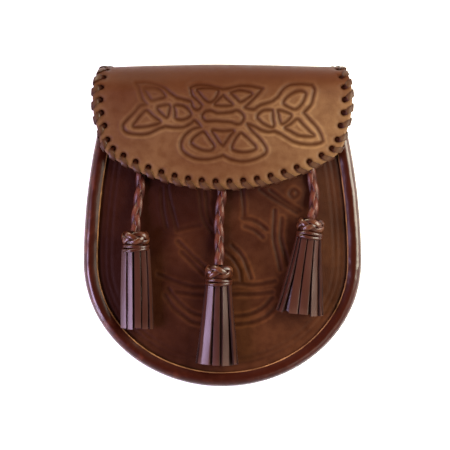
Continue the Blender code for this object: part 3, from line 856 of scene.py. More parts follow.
@dataclass
class Studio:
    """A pale floor under soft light, with the camera straight over the front of the pouch."""

    camera_height: float = 1.30
    film_width: float = 36.0
    seen_width: float = 0.2880
    seen_height_over_floor: float = 0.036
    middle: Pair = (0.0016, 0.0002)
    floor_size: float = 6.0
    floor_colours: tuple[Colour, Colour] = ((0.90, 0.90, 0.90), (0.94, 0.94, 0.94))
    floor_clouds: float = 0.3
    floor_roughness: float = 0.9
    floor_glow: float = 0.45
    sky_colour: Colour = (1.0, 0.90, 0.92)
    sky_fade: tuple[float, float, float, float] = (0.40, 0.86, 0.85, 0.01)
    lamps: tuple[Lamp, ...] = (
        Lamp("key", (0.31, 0.07, 0.26), 0.24, 3.2, (1.0, 0.97, 0.79)),
        Lamp("fill", (0.20, -0.24, 0.42), 0.20, 0.35, (1.0, 0.92, 0.76)),
        Lamp("fold_side", (-0.29, 0.50, 0.20), 0.20, 2.6, (1.0, 0.86, 0.60)),
        Lamp("cool_side", (-0.45, -0.13, 0.40), 0.20, 4.2, (0.74, 0.57, 0.92)),
        Lamp("rim_side", (-0.30, -0.17, 0.13), 0.06, 0.30, (0.86, 0.74, 1.0)),
        Lamp("right_side", (0.46, 0.32, 0.18), 0.14, 0.50, (1.0, 0.78, 0.95)),
    )

    def build(self) -> None:
        """Builds the camera, the floor, the sky and the lamps."""
        self.camera()
        self.floor()
        self.sky()
        for lamp in self.lamps:
            lamp.build()
        bpy.context.scene.view_settings.view_transform = "Standard"

    def camera(self) -> None:
        """Hangs the camera over the middle of the picture, with the fold of the flap on top."""
        data = bpy.data.cameras.new("camera")
        data.sensor_width = self.film_width
        distance = self.camera_height - self.seen_height_over_floor
        data.lens = data.sensor_width * distance / self.seen_width
        made = bpy.data.objects.new("camera", data)
        made.location = (*self.middle, self.camera_height)
        bpy.context.scene.collection.objects.link(made)
        bpy.context.scene.camera = made

    def floor(self) -> None:
        """Lays the pale floor."""
        half = self.floor_size / 2
        corners = [(-half, -half, 0), (half, -half, 0), (half, half, 0), (-half, half, 0)]
        mesh = bpy.data.meshes.new("floor")
        mesh.from_pydata(corners, [], [(0, 1, 2, 3)])
        floor = bpy.data.objects.new("floor", mesh)
        bpy.context.scene.collection.objects.link(floor)
        shader = Shader("pale_floor")
        tone = shader.mix(shader.noise(self.floor_clouds, 2), *self.floor_colours)
        shader.give("Base Color", tone)
        shader.give("Roughness", self.floor_roughness)
        shader.give("Emission Color", tone)
        shader.give("Emission Strength", self.floor_glow)
        mesh.materials.append(shader.material)

    def sky(self) -> None:
        """Lights the scene from all round, with less light from straight above."""
        world = bpy.data.worlds.new("sky")
        world.use_nodes = True
        tree = world.node_tree
        way = tree.nodes.new("ShaderNodeTexCoord").outputs["Generated"]
        split = tree.nodes.new("ShaderNodeSeparateXYZ")
        tree.links.new(way, split.inputs[0])
        fade = tree.nodes.new("ShaderNodeMapRange")
        for key, value in zip(("From Min", "From Max", "To Min", "To Max"), self.sky_fade):
            fade.inputs[key].default_value = value
        tree.links.new(split.outputs["Z"], fade.inputs["Value"])
        back = tree.nodes["Background"]
        back.inputs["Color"].default_value = (*self.sky_colour, 1)
        tree.links.new(fade.outputs[0], back.inputs["Strength"])
        bpy.context.scene.world = world


# The pouch's form


# Section of the rim from the side wall up and over, in shares of its width and its height
RIM_SECTION = (
    {"across": 0.00, "up": 0.00},
    {"across": 0.00, "up": 0.25},
    {"across": 0.06, "up": 0.55},
    {"across": 0.20, "up": 0.84},
    {"across": 0.45, "up": 1.00},
    {"across": 0.75, "up": 0.88},
    {"across": 1.00, "up": 0.66},
)

# Section of the side wall from the back up to the rim, in shares of its tuck and its height
WALL_SECTION = (
    {"in": 1.70, "up": 0.00},
    {"in": 1.00, "up": 0.07},
    {"in": 0.30, "up": 0.35},
    {"in": 0.00, "up": 1.00},
)


@dataclass
class PouchForm:
    """The outline, the heights and the shared sizes of the pouch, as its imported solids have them."""

    mouth_width: float = 0.145
    round_drop: float = 0.0797
    rim_width: float = 0.0084
    rim_height: float = 0.0050
    panel_crown: float = 0.0025
    crown_inset_share: float = 1.1
    rest_length: float = 0.043
    edge_leather: float = 0.0020
    back_leather: float = 0.0024
    tuck: float = 0.0016
    clearance: float = 0.0003

    def __post_init__(self) -> None:
        """Reads the main sizes from the rim, the panel and a strap loop."""
        rim_low, rim_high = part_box("rim")
        self.half = rim_high.x
        self.bottom = rim_low.y
        self.mouth = rim_high.y
        self.top = rim_high.z
        self.widest = self.bottom + self.round_drop
        self.panel_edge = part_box("front_panel")[1].z - self.panel_crown
        loop_low, loop_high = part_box("belt_loop_left")
        self.loop_stand = loop_high.z + self.clearance
        self.loop_low = loop_low.y

    def half_width(self, y: Array) -> Array:
        """Half the pouch's width.

        Args:
            y: how far up the pouch each place is.

        Returns:
            Half the width at each place.
        """
        rise = (y - self.widest) / (self.mouth - self.widest)
        side = self.half - (self.half - self.mouth_width / 2) * rise**2
        drop = np.clip((self.widest - y) / self.round_drop, 0, 1)
        return np.where(y >= self.widest, side, self.half * np.sqrt(1 - drop**2))

    def edge(self, step: float) -> tuple[Array, Array]:
        """Points and outward normals along the outline, from the mouth's left end to its right.

        Args:
            step: about how far apart the points are.

        Returns:
            The points and the normals, a row each.
        """
        span = self.mouth - self.widest
        count = math.ceil(span / step)
        y = np.linspace(self.mouth, self.widest, count, endpoint=False)
        slope = 2 * (self.half - self.mouth_width / 2) * (y - self.widest) / span**2
        side = np.stack([self.half_width(y), y], axis=1)
        side_out = np.stack([np.ones(count), slope], axis=1)
        turn = np.linspace(0, math.pi / 2, math.ceil(math.pi / 2 * self.half / step) + 1)
        bow_y = self.widest - self.round_drop * np.sin(turn)
        bow = np.stack([self.half * np.cos(turn), bow_y], axis=1)
        bow_out = np.stack([np.cos(turn) / self.half, -np.sin(turn) / self.round_drop], axis=1)
        right, out = np.vstack([side, bow]), unit(np.vstack([side_out, bow_out]))
        flip = np.array([-1, 1])
        return np.vstack([right[:-1] * flip, right[::-1]]), np.vstack([out[:-1] * flip, out[::-1]])

    def back_z(self, y: Array) -> Array:
        """Height of the back over the floor at each y."""
        rest = self.bottom + self.rest_length
        return self.loop_stand * (1 - np.cos(math.pi * ramp(y, rest, self.loop_low - rest))) / 2

    def panel_top(self, x: Array, y: Array) -> Array:
        """Height of the front panel, crowned inside the rim.

        Args:
            x: how far to the right each place is.
            y: how far up the pouch each place is.

        Returns:
            The height at each place.
        """
        inset = self.rim_width * self.crown_inset_share
        along = np.where(y < self.widest, (self.widest - y) / (self.round_drop - inset), 0)
        reach = np.where(y < self.widest, self.half - inset, self.half_width(y) - inset)
        return self.panel_edge + self.panel_crown * np.maximum(0, 1 - (x / reach) ** 2 - along**2)


# Tooling


@dataclass(frozen=True)
class Stroke:
    """One tooled line of a chart, in the chart's units, x to the right and y up."""

    points: tuple[Pair, ...]
    closed: bool = False


# Interlaced knotwork of the flap, pressed a little askew, so each half has its own chart
RIGHT_KNOT = {
    "bone": Stroke(((0, 4.5), (8, 5.5), (13, 7), (18, 4.5), (20.5, 0), (18, -5), (14, -6.5),
        (7, -4.5), (0, -4))),
    "top_triangle": Stroke(((0, 22), (4, 18), (9, 13), (5, 11.8), (0, 11.5))),
    "low_triangle": Stroke(((0, -13.5), (10, -13), (7, -18), (0, -28))),
    "upper_cell": Stroke(((8, 24.5), (16, 27), (26, 25), (28, 22.5), (22.5, 18), (17, 15.5),
        (13, 19), (9, 23)), True),
    "round_cell": Stroke(((35, 3.5), (40, 7), (47, 7.5), (49, 6), (49.5, -1), (50.5, -7), (48, -9.5),
        (40, -6), (36, -2.5), (34, 0)), True),
    "small_triangle": Stroke(((54.5, 7), (61, 6), (67.5, 2.5), (64, -3), (58.5, -6), (56, -2),
        (55, 3.5)), True),
    "upper_leaf": Stroke(((60, 14), (62.5, 19.5), (69, 24.5), (76, 26.5), (81.5, 24.5), (81, 19.5),
        (77.5, 13), (72, 8.5), (66.5, 9.5)), True),
    "lower_leaf": Stroke(((61.5, -10), (67, -6), (73.5, -1.5), (80, -7.5), (86.5, -14), (90, -18),
        (82.5, -18.5), (74.5, -17.5), (67, -13.5)), True),
    "lobe": Stroke(((17, -15.5), (11, -23), (9, -31), (16, -34), (24, -34), (31, -32), (32, -28.5),
        (27, -23), (21.5, -18)), True),
    "crown_edge": Stroke(((0, 28), (8, 29.5), (17, 31.5), (28, 31), (39, 28.5))),
    "crown_side": Stroke(((39, 28.5), (32, 20.5), (26, 14.5), (21.5, 10))),
    "arm_top": Stroke(((21.5, 10), (26, 8.5), (31, 8.5), (37, 12.5), (48, 16), (51.5, 18.5))),
    "leaf_top": Stroke(((51.5, 18.5), (54.5, 21), (60, 28.5), (66.5, 32.5), (76, 33.5), (88, 32.5))),
    "leaf_side": Stroke(((88, 32.5), (90.5, 27.5), (89, 19.5), (87, 13), (80, 5))),
    "tail_side": Stroke(((80, 5), (85.5, -1.5), (93, -9.5), (97.5, -18), (99, -23))),
    "tail_low": Stroke(((99, -23), (94.5, -25.5), (84, -26.5), (72, -24.5), (64, -20.5), (56, -15.5),
        (51, -13.5))),
    "arm_low": Stroke(((51, -13.5), (43, -14), (37, -12), (30.5, -8.5), (24, -6.5))),
    "lobe_edge": Stroke(((24, -6.5), (28, -12.5), (35, -19.5), (41, -27), (43, -32.5), (40, -37),
        (32, -41), (20, -43.5), (8, -41.5), (0, -37.5))),
}

LEFT_KNOT = {
    "bone": Stroke(((0, 4.5), (-6, 4.5), (-12.4, 6.8), (-18, 5.5), (-20.8, 1.8), (-19, -2),
        (-15.8, -3.7), (-8, -3.4), (0, -4))),
    "top_triangle": Stroke(((0, 22), (-4.5, 18), (-8.5, 13.2), (-4, 11.8), (0, 11.5))),
    "low_triangle": Stroke(((0, -13.5), (-10.8, -12.6), (-8, -18.2), (-3.6, -24.8), (0, -28))),
    "upper_cell": Stroke(((-25.8, 27.9), (-16.9, 29.1), (-8, 28.5), (-4.7, 26.3), (-8, 18.5),
        (-13.6, 15.2), (-19.1, 18.5), (-23.6, 24.1)), True),
    "round_cell": Stroke(((-48, 11.8), (-39.1, 11.3), (-32.5, 5.2), (-33.6, 0.7), (-41.3, -2.1),
        (-47, -0.4), (-47.5, 5.2)), True),
    "small_triangle": Stroke(((-65.2, 9.1), (-63.6, 11.3), (-53.6, 12.4), (-53.6, 5.2), (-55.8, 0.2),
        (-60.2, 2.9), (-63.6, 6.3)), True),
    "upper_leaf": Stroke(((-78, 28.5), (-75.8, 24.1), (-71.3, 17.4), (-65.8, 17.9), (-58, 20.7),
        (-60.2, 25.2), (-64, 28.4), (-71, 29.6)), True),
    "lower_leaf": Stroke(((-75.8, 6.8), (-69.1, 1.3), (-62.4, -4.3), (-70.2, -7.6), (-80.2, -9.3),
        (-89.1, -8.7), (-85.8, -2.6), (-81.3, 2.9)), True),
    "lobe": Stroke(((-19.1, -14.3), (-13.6, -21.5), (-9.1, -28.2), (-12.4, -32.6), (-21.3, -32.1),
        (-30.2, -27.1), (-31.3, -22.6), (-25.8, -17.1)), True),
    "crown_edge": Stroke(((0, 28), (-8, 30), (-17, 32), (-26, 32), (-32.5, 29.5))),
    "crown_side": Stroke(((-32.5, 29.5), (-30.5, 22), (-26, 17.4), (-21.3, 12.4))),
    "arm_top": Stroke(((-21.3, 12.4), (-23, 9.1), (-25.8, 7.6), (-29.1, 9.1), (-31, 12.4),
        (-32, 15.7), (-39.1, 17.9), (-46, 19.6))),
    "leaf_top": Stroke(((-46, 19.6), (-52, 24), (-58, 29), (-66, 32.5), (-76, 34.5), (-86, 34))),
    "leaf_side": Stroke(((-86, 34), (-83.6, 29.6), (-81.9, 24.1), (-79.7, 17.9), (-76.3, 13.5))),
    "tail_side": Stroke(((-76.3, 13.5), (-82.4, 11.8), (-88, 5.2), (-95.8, -2.6), (-99.1, -7.1),
        (-98.6, -11.5))),
    "tail_low": Stroke(((-98.6, -11.5), (-94.7, -14.8), (-85.8, -16.5), (-74.7, -15.9),
        (-63.6, -10.9), (-56.9, -8.7))),
    "arm_low": Stroke(((-56.9, -8.7), (-48, -9.8), (-39.1, -9.3), (-32.4, -5.9), (-28.6, -3.2),
        (-24.7, -5.9), (-22.4, -9.3))),
    "lobe_edge": Stroke(((-22.4, -9.3), (-30.2, -11.5), (-36.9, -16.5), (-41.3, -23.7),
        (-41.3, -30.4), (-36.9, -35.9), (-28, -40.4), (-16.9, -41.5), (-8, -40),
        (0, -37.5))),
}

# Bands pressed into the front panel, from the middle of the pouch
BANDS = {
    "right_arc_outer": Stroke(((20.5, 7), (32.5, 5), (44.5, -4))),
    "right_arc_inner": Stroke(((22.5, -1), (32.5, -5), (40.5, -12))),
    "middle_arc_outer": Stroke(((9.5, -20), (19.5, -30), (24.5, -42), (28.5, -53))),
    "middle_arc_inner": Stroke(((1.5, -26), (10.5, -33), (17.5, -45), (19, -56))),
    "cross_band_top": Stroke(((-64.5, -49), (-50.5, -55), (-35.5, -60), (-22.5, -62), (-4, -61),
        (14.5, -58), (30.5, -60), (52.5, -56))),
    "cross_band_low": Stroke(((-45.5, -67), (-22.5, -70), (-4, -70), (15.5, -69), (32.5, -69),
        (49.5, -67))),
    "bowl_inner": Stroke(((-54.5, -63), (-45.5, -75), (-35.5, -84), (-26.5, -89), (-6, -92),
        (14.5, -91), (27.5, -89), (40.5, -83), (50, -73))),
    "bowl_outer": Stroke(((-57.5, -70), (-49.5, -82), (-39.5, -90), (-29.5, -97), (-8, -100),
        (15.5, -99), (30.5, -97), (44.5, -91), (56, -79))),
    "left_slant_outer": Stroke(((-44.5, -16), (-32.5, -28), (-19.5, -40), (-8, -52))),
    "left_slant_inner": Stroke(((-40.5, -27), (-29.5, -38), (-18, -49))),
    "left_hook": Stroke(((-45.5, -5), (-35.5, -2), (-22.5, 0))),
    "left_rise_outer": Stroke(((-60.5, 38), (-60.5, 32), (-59.5, 15), (-56, -2))),
    "left_rise_inner": Stroke(((-55, 40), (-54.5, 32), (-49.5, 12), (-45.5, -3))),
    "middle_rise_outer": Stroke(((-22, 36), (-21.5, 27), (-20.5, 12), (-15.5, 0), (-6, -12))),
    "middle_rise_inner": Stroke(((-16, 34), (-15, 23), (-14.5, 12), (-10, 2))),
    "middle_rise_right": Stroke(((19.5, 40), (20, 32), (21.5, 20), (21.5, 10))),
    "right_slant_outer": Stroke(((38, 36), (44.5, 31), (57.5, 23), (74.5, 13))),
    "right_slant_inner": Stroke(((48, 35), (54.5, 30), (65.5, 22), (77.5, 15))),
    "right_fall_outer": Stroke(((52.5, 15), (51.5, -13), (54.5, -27), (58, -44))),
    "right_fall_inner": Stroke(((59.5, 7), (58.5, -13), (62.5, -27), (66, -40))),
    "small_ring": Stroke(((75.5, 32), (71.5, 36), (67.5, 32), (71.5, 28)), True),
}


@dataclass(frozen=True)
class Chart:
    """A chart of tooled lines at its real size."""

    parts: tuple[dict[str, Stroke], ...]
    unit: float
    middle: Pair
    ease: float = 0.0

    def lines(self, step: float) -> list[Array]:
        """The lines as close points.

        Args:
            step: how far apart the points are.

        Returns:
            An array of points for each line.
        """
        found = []
        for stroke in (stroke for part in self.parts for stroke in part.values()):
            line = smooth(np.array(stroke.points) * self.unit + self.middle, step, stroke.closed)
            reach = min(round(self.ease / step), len(line) // 4)
            if reach and not stroke.closed:
                padded = np.pad(line, ((reach, reach), (0, 0)), mode="reflect", reflect_type="odd")
                window = np.ones(2 * reach + 1) / (2 * reach + 1)
                columns = [np.convolve(column, window, "valid") for column in padded.T]
                line = np.stack(columns, axis=1)
            found.append(line)
        return found


@dataclass(frozen=True)
class Tool:
    """How a tooled line is pressed: its groove, the shoulder beside it, its dye, and the wear and
    painted highlight along the shoulder.
    """

    depth: float
    width: float
    shoulder: float
    shoulder_at: float
    shoulder_width: float
    ridge_highlight_and_rub: float
    ridge_at: float
    ridge_width: float
    dye_spread: float = 1.2

    def relief(self, distance: Array) -> Array:
        """Height of the leather at a distance from the line."""
        groove = -self.depth * bell(distance, self.width)
        return groove + self.shoulder * bell(distance, self.shoulder_width, self.shoulder_at)

    def darkness(self, distance: Array) -> Array:
        """How much dye has gathered at a distance from the line."""
        return bell(distance, self.dye_spread * self.width)

    def wear(self, distance: Array) -> Array:
        """How many times as light the leather is at a distance from the line: wear, with a painted
        highlight along the shoulder.
        """
        return 1 + self.ridge_highlight_and_rub * bell(distance, self.ridge_width, self.ridge_at)


# Pouch


def rows_within(loop: Array, columns: int) -> Array:
    """Flat places between the two sides of an outline.

    Args:
        loop: points of its right side, a row each.
        columns: how many places there are from side to side.

    Returns:
        Rows of columns of places.
    """
    shares = np.linspace(-1, 1, columns)
    grid = np.zeros((len(loop), columns, 2))
    grid[:, :, 0] = np.maximum(loop[:, 0:1], 0) * shares[None, :]
    grid[:, :, 1] = loop[:, 1:2]
    return grid


@dataclass
class FrontPanel:
    """The embossed front, recessed inside the rim."""

    form: PouchForm
    leather: float = 0.0022
    setback: float = 0.010
    step: float = 0.85 * MM
    plain_cell: int = 10
    chart: Chart = Chart((BANDS,), 0.64 * MM, (0.0, 0.0), 3.5 * MM)
    chart_step: float = 0.25 * MM
    tool: Tool = Tool(depth=0.36 * MM, width=1.0 * MM, shoulder=0.14 * MM, shoulder_at=2.2 * MM,
                      shoulder_width=1.0 * MM, ridge_highlight_and_rub=1.1, ridge_at=2.2 * MM,
                      ridge_width=0.9 * MM)
    border_insets: Pair = (13.6 * MM, 17.0 * MM)
    border_step: float = 0.4 * MM
    border_share: float = 0.5
    firm: float = 0.85
    firm_lumps: Lumps = Lumps(0.5, 26 * MM, 1.9)
    swell: Lumps = Lumps(0.30 * MM, 34 * MM, 3.1)
    # Lightening of the front: painted light that grows to the right and downwards, with uneven wear
    # from the lumps.
    worn: float = 0.14
    light_to_right: float = 3.6
    light_to_top: float = -3.0
    light_up_to_x: float = 35 * MM
    light_from_y: float = -10 * MM
    worn_lumps: Lumps = Lumps(0.25, 22 * MM, 5.7)
    most_rub_and_light: float = 0.9
    dye: float = 0.42

    def __post_init__(self) -> None:
        """Lays out the pressed lines."""
        self.top = self.form.mouth - self.setback
        self.lines = Nearness(self.chart.lines(self.chart_step))
        points, normals = self.form.edge(self.border_step)
        borders = [points - normals * inset for inset in self.border_insets]
        self.borders = Nearness([line[line[:, 1] < self.top] for line in borders])

    def grid(self) -> Array:
        """Flat places on the outer side.

        Returns:
            Rows of columns of places.
        """
        form = self.form
        inset = form.edge_leather + 3 * form.clearance
        points, normals = form.edge(self.step)
        loop = (points - normals * inset)[len(points) // 2:]
        corner = [float(form.half_width(np.array(self.top))) - inset, self.top]
        loop = np.vstack([loop[loop[:, 1] <= self.top], corner])
        return rows_within(loop, round(2 * form.half / self.step))[::-1]

    def place(self, x: Array, y: Array, z: Array) -> Placed:
        """Crowns the flat sheet and presses the lines into it.

        Args:
            x: flat places across.
            y: flat places up the pouch.
            z: heights over the outer side.

        Returns:
            The points, their wear and painted light, and the dye in their tooled lines.
        """
        outer = z > -self.leather / 2
        distance = self.lines.distances(x, y)
        to_border = self.borders.distances(x, y)
        flat = np.stack([x, y, np.zeros(len(x))], axis=1)
        firm = self.firm + self.firm_lumps.at(flat)
        relief = self.tool.relief(distance) * firm
        relief = relief + self.border_share * self.tool.relief(to_border) * firm
        lift = np.where(outer, relief + self.swell.at(flat), 0)
        height = self.form.panel_top(x, y) + z + lift
        # Painted light, lighter to the right and towards the bottom; the lumps add uneven wear, and
        # the shoulders of the lines a painted highlight.
        worn = self.worn + self.light_to_right * np.minimum(x, self.light_up_to_x)
        worn = worn + self.light_to_top * (y - self.light_from_y) + self.worn_lumps.at(flat)
        worn = worn * self.tool.wear(distance)
        rub = np.where(outer, np.clip(worn, 0, self.most_rub_and_light), 0)
        border_dye = self.border_share * self.tool.darkness(to_border)
        dye = np.maximum(self.tool.darkness(distance), border_dye)
        tooling = np.where(outer, dye * self.dye * firm, 0)
        return np.stack([x, y, height], axis=1), rub, tooling

    def build(self) -> None:
        """Builds the front."""
        sheet = Sheet(self.grid(), self.leather, self.plain_cell)
        mesh = sheet.bend("front_panel_tooled", self.place)
        finishes = (FRONT_LEATHER, FLESH_SIDE, CUT_EDGE)
        place_mesh(mesh, finishes, ("front_panel",), 60)


@dataclass
class Rim:
    """The rim rolled over the front, lumpy and worn, with its pale cut edge against the panel."""

    form: PouchForm
    step: float = 1.1 * MM
    section_step: float = 0.09
    cut: tuple[Pair, ...] = ((0.60 * MM, 0.45 * MM), (0.70 * MM, 1.0 * MM))
    cut_return: float = 0.1 * MM
    inner_shift: float = 0.3
    inner_drop: float = 0.95
    soft_turn: Pair = (0.15, math.pi * 0.8)
    left_and_right: Pair = (0.55, 0.45)
    lumps: Lumps = Lumps(0.30 * MM, 9 * MM, 1.3)
    small_lumps: Lumps = Lumps(0.16 * MM, 3.2 * MM, 7.9)
    long_lumps: Lumps = Lumps(0.30 * MM, 24 * MM, 4.4)
    long_squeeze: Triple = (1, 1, 0.2)
    side_lumps: Lumps = Lumps(0.22 * MM, 14 * MM, 2.2)
    sunk: float = 0.20 * MM
    pulled_in: float = 0.12 * MM
    scuffs: tuple[Lumps, ...] = (Lumps(0.9, 7 * MM, 9.1), Lumps(0.7, 2.4 * MM, 5.3))
    most_scuffed: float = 0.6
    scuffed_left: float = 1.25
    # Painted shade on the rim's inner side, which is also less glossy there.
    dull: float = 0.90
    inner_shade_from: float = 0.32
    inner_shade_over: float = 0.22

    def profile(self) -> tuple[Array, int]:
        """The rim's section: how far in from the outline and how far below the top.

        Returns:
            The section's points, a row each, and how many of them the outer side has.
        """
        form, skin = self.form, self.form.edge_leather
        rows = smooth(np.array([(r["across"], r["up"]) for r in RIM_SECTION]), self.section_step)
        outer = [(form.rim_width * a, -form.rim_height * (1 - u)) for a, u in rows]
        end_in, end_z = outer[-1]
        cut = [(end_in + across, end_z - down) for across, down in self.cut]
        cut.append((end_in - self.cut_return, end_z - skin))
        inner = [(max(skin, a - self.inner_shift * skin), z - skin * self.inner_drop)
                 for a, z in outer[::-3][1:-1]]
        inner = [(a, max(z, -form.rim_height)) for a, z in inner] + [(skin, -form.rim_height)]
        return np.array(outer + cut + inner), len(outer)

    def build(self) -> None:
        """Builds the rim."""
        form = self.form
        profile, outer = self.profile()
        points, normals = form.edge(self.step)
        rings = np.zeros((len(points), len(profile), 3))
        rings[:, :, :2] = points[:, None, :] - normals[:, None, :] * profile[None, :, 0:1]
        rings[:, :, 2] = form.top + profile[None, :, 1]
        flat = rings.reshape(-1, 3)
        soft = np.zeros(len(profile))
        soft[2:outer + 1] = np.sin(np.linspace(*self.soft_turn, outer - 1))
        soft = np.tile(soft, len(points))
        middle, change = self.left_and_right
        right = middle + change * np.clip(flat[:, 0] / form.half, -1, 1)
        lumps = self.lumps.at(flat) + self.small_lumps.at(flat) * right
        lumps += self.long_lumps.at(flat * self.long_squeeze)
        flat[:, 2] += lumps * soft - self.sunk * soft
        out = np.repeat(normals, len(profile), axis=0)
        flat[:, :2] += out * (self.side_lumps.at(flat) * soft - self.pulled_in * soft)[:, None]
        scuffs = sum(lumps.at(flat) for lumps in self.scuffs)
        rub = np.clip(scuffs, 0, self.most_scuffed) * soft * (self.scuffed_left - right)
        rub = rub.reshape(len(points), -1)[:, ::-1].reshape(-1)
        # Painted shade: the rim's inner side is darkened towards the panel, and its polish is duller
        # there.
        dull = self.dull * ramp(profile[:, 0] / form.rim_width, self.inner_shade_from, self.inner_shade_over)
        first_cut = len(profile) - 2 - outer
        looks = [1 if face in (first_cut, first_cut + 1) else 0 for face in range(len(profile))]
        shape = Shape()
        shape.sweep(rings[:, ::-1], looks, rub=rub, tooling=np.tile(dull[::-1], len(points)))
        shape.piece("rim_rolled", (RIM_LEATHER, RIM_EDGE), Slot.MAHOGANY, ("rim",), 50)


@dataclass
class Gusset:
    """The side wall, with its lip on the back."""

    form: PouchForm
    step: float = 2.0 * MM
    section_step: float = 0.10
    lip: float = 0.0050
    lip_up: float = 0.10
    lumps: Lumps = Lumps(0.35 * MM, 13 * MM, 6.6)
    squeeze: Triple = (1, 1, 2)
    pulled_in: float = 0.2 * MM
    soft_from: float = 3 * MM
    soft_over: float = 24 * MM

    def __post_init__(self) -> None:
        """Finds where the wall ends under the rim."""
        self.top = self.form.top - self.form.rim_height - self.form.clearance

    def ring(self, wall: Array, point: Array, out: Array) -> list[Triple]:
        """The wall's section at one place, up its outer side and down its inner one.

        Args:
            wall: how far in and how far up the outer side's points are.
            point: the place on the outline.
            out: the outward normal there.

        Returns:
            The places round the section.
        """
        skin = self.form.edge_leather
        lip_from = self.form.tuck * WALL_SECTION[0]["in"]
        spots = [(inset, up, 0.0) for inset, up in wall]
        for inset, up in wall[::-1]:
            inner = max(inset, 0) + (skin if inset <= lip_from else 0.0)
            spots.append((inner, up, skin if up < self.lip_up else 0.0))
        ring = []
        for inset, up, lift in spots:
            x, y = point - out * inset
            low = float(self.form.back_z(y)) + self.form.back_leather + self.form.clearance
            ring.append((x, y, min(low + (self.top - low) * up + lift, self.top)))
        return ring

    def build(self) -> None:
        """Builds the wall."""
        form = self.form
        rows = [(self.lip, 0.0)] + [(form.tuck * row["in"], row["up"]) for row in WALL_SECTION]
        wall = smooth(np.array(rows), self.section_step)
        points, normals = form.edge(self.step)
        rings = np.array([self.ring(wall, point, out) for point, out in zip(points, normals)])
        flat = rings.reshape(-1, 3)
        share = ramp(flat[:, 2] - form.back_z(flat[:, 1]), self.soft_from, self.soft_over)
        shift = self.lumps.at(flat * self.squeeze) - self.pulled_in
        out = np.repeat(normals, rings.shape[1], axis=0)
        flat[:, :2] += out * (shift * np.sin(share * math.pi))[:, None]
        shape = Shape()
        shape.sweep(rings)
        shape.piece("gusset_wall", (GUSSET_LEATHER,), Slot.MAHOGANY, ("gusset",), 50)


@dataclass
class BackPanel:
    """The plain back."""

    form: PouchForm
    step: float = 2.0 * MM
    columns: int = 61
    plain_cell: int = 3

    def place(self, x: Array, y: Array, z: Array) -> Placed:
        """Bends the flat sheet up to the strap loops, outer side down, unworn and untooled."""
        plain = np.zeros(len(x))
        return np.stack([x, y, self.form.back_z(y) - z], axis=1), plain, plain

    def build(self) -> None:
        """Builds the back."""
        points, normals = self.form.edge(self.step)
        loop = (points - normals * self.form.tuck / 2)[len(points) // 2:]
        sheet = Sheet(rows_within(loop, self.columns), self.form.back_leather, self.plain_cell)
        mesh = sheet.bend("back_panel_plain", self.place)
        mesh.flip_normals()
        finishes = (BACK_LEATHER, FLESH_SIDE, CUT_EDGE)
        place_mesh(mesh, finishes, ("back_panel",), 50)


@dataclass
class Pouch:
    """The front panel, the rim, the gusset and the back panel."""

    form: PouchForm

    def build(self) -> None:
        """Builds the four pieces."""
        for part in (FrontPanel, Rim, Gusset, BackPanel):
            part(self.form).build()


# Flap


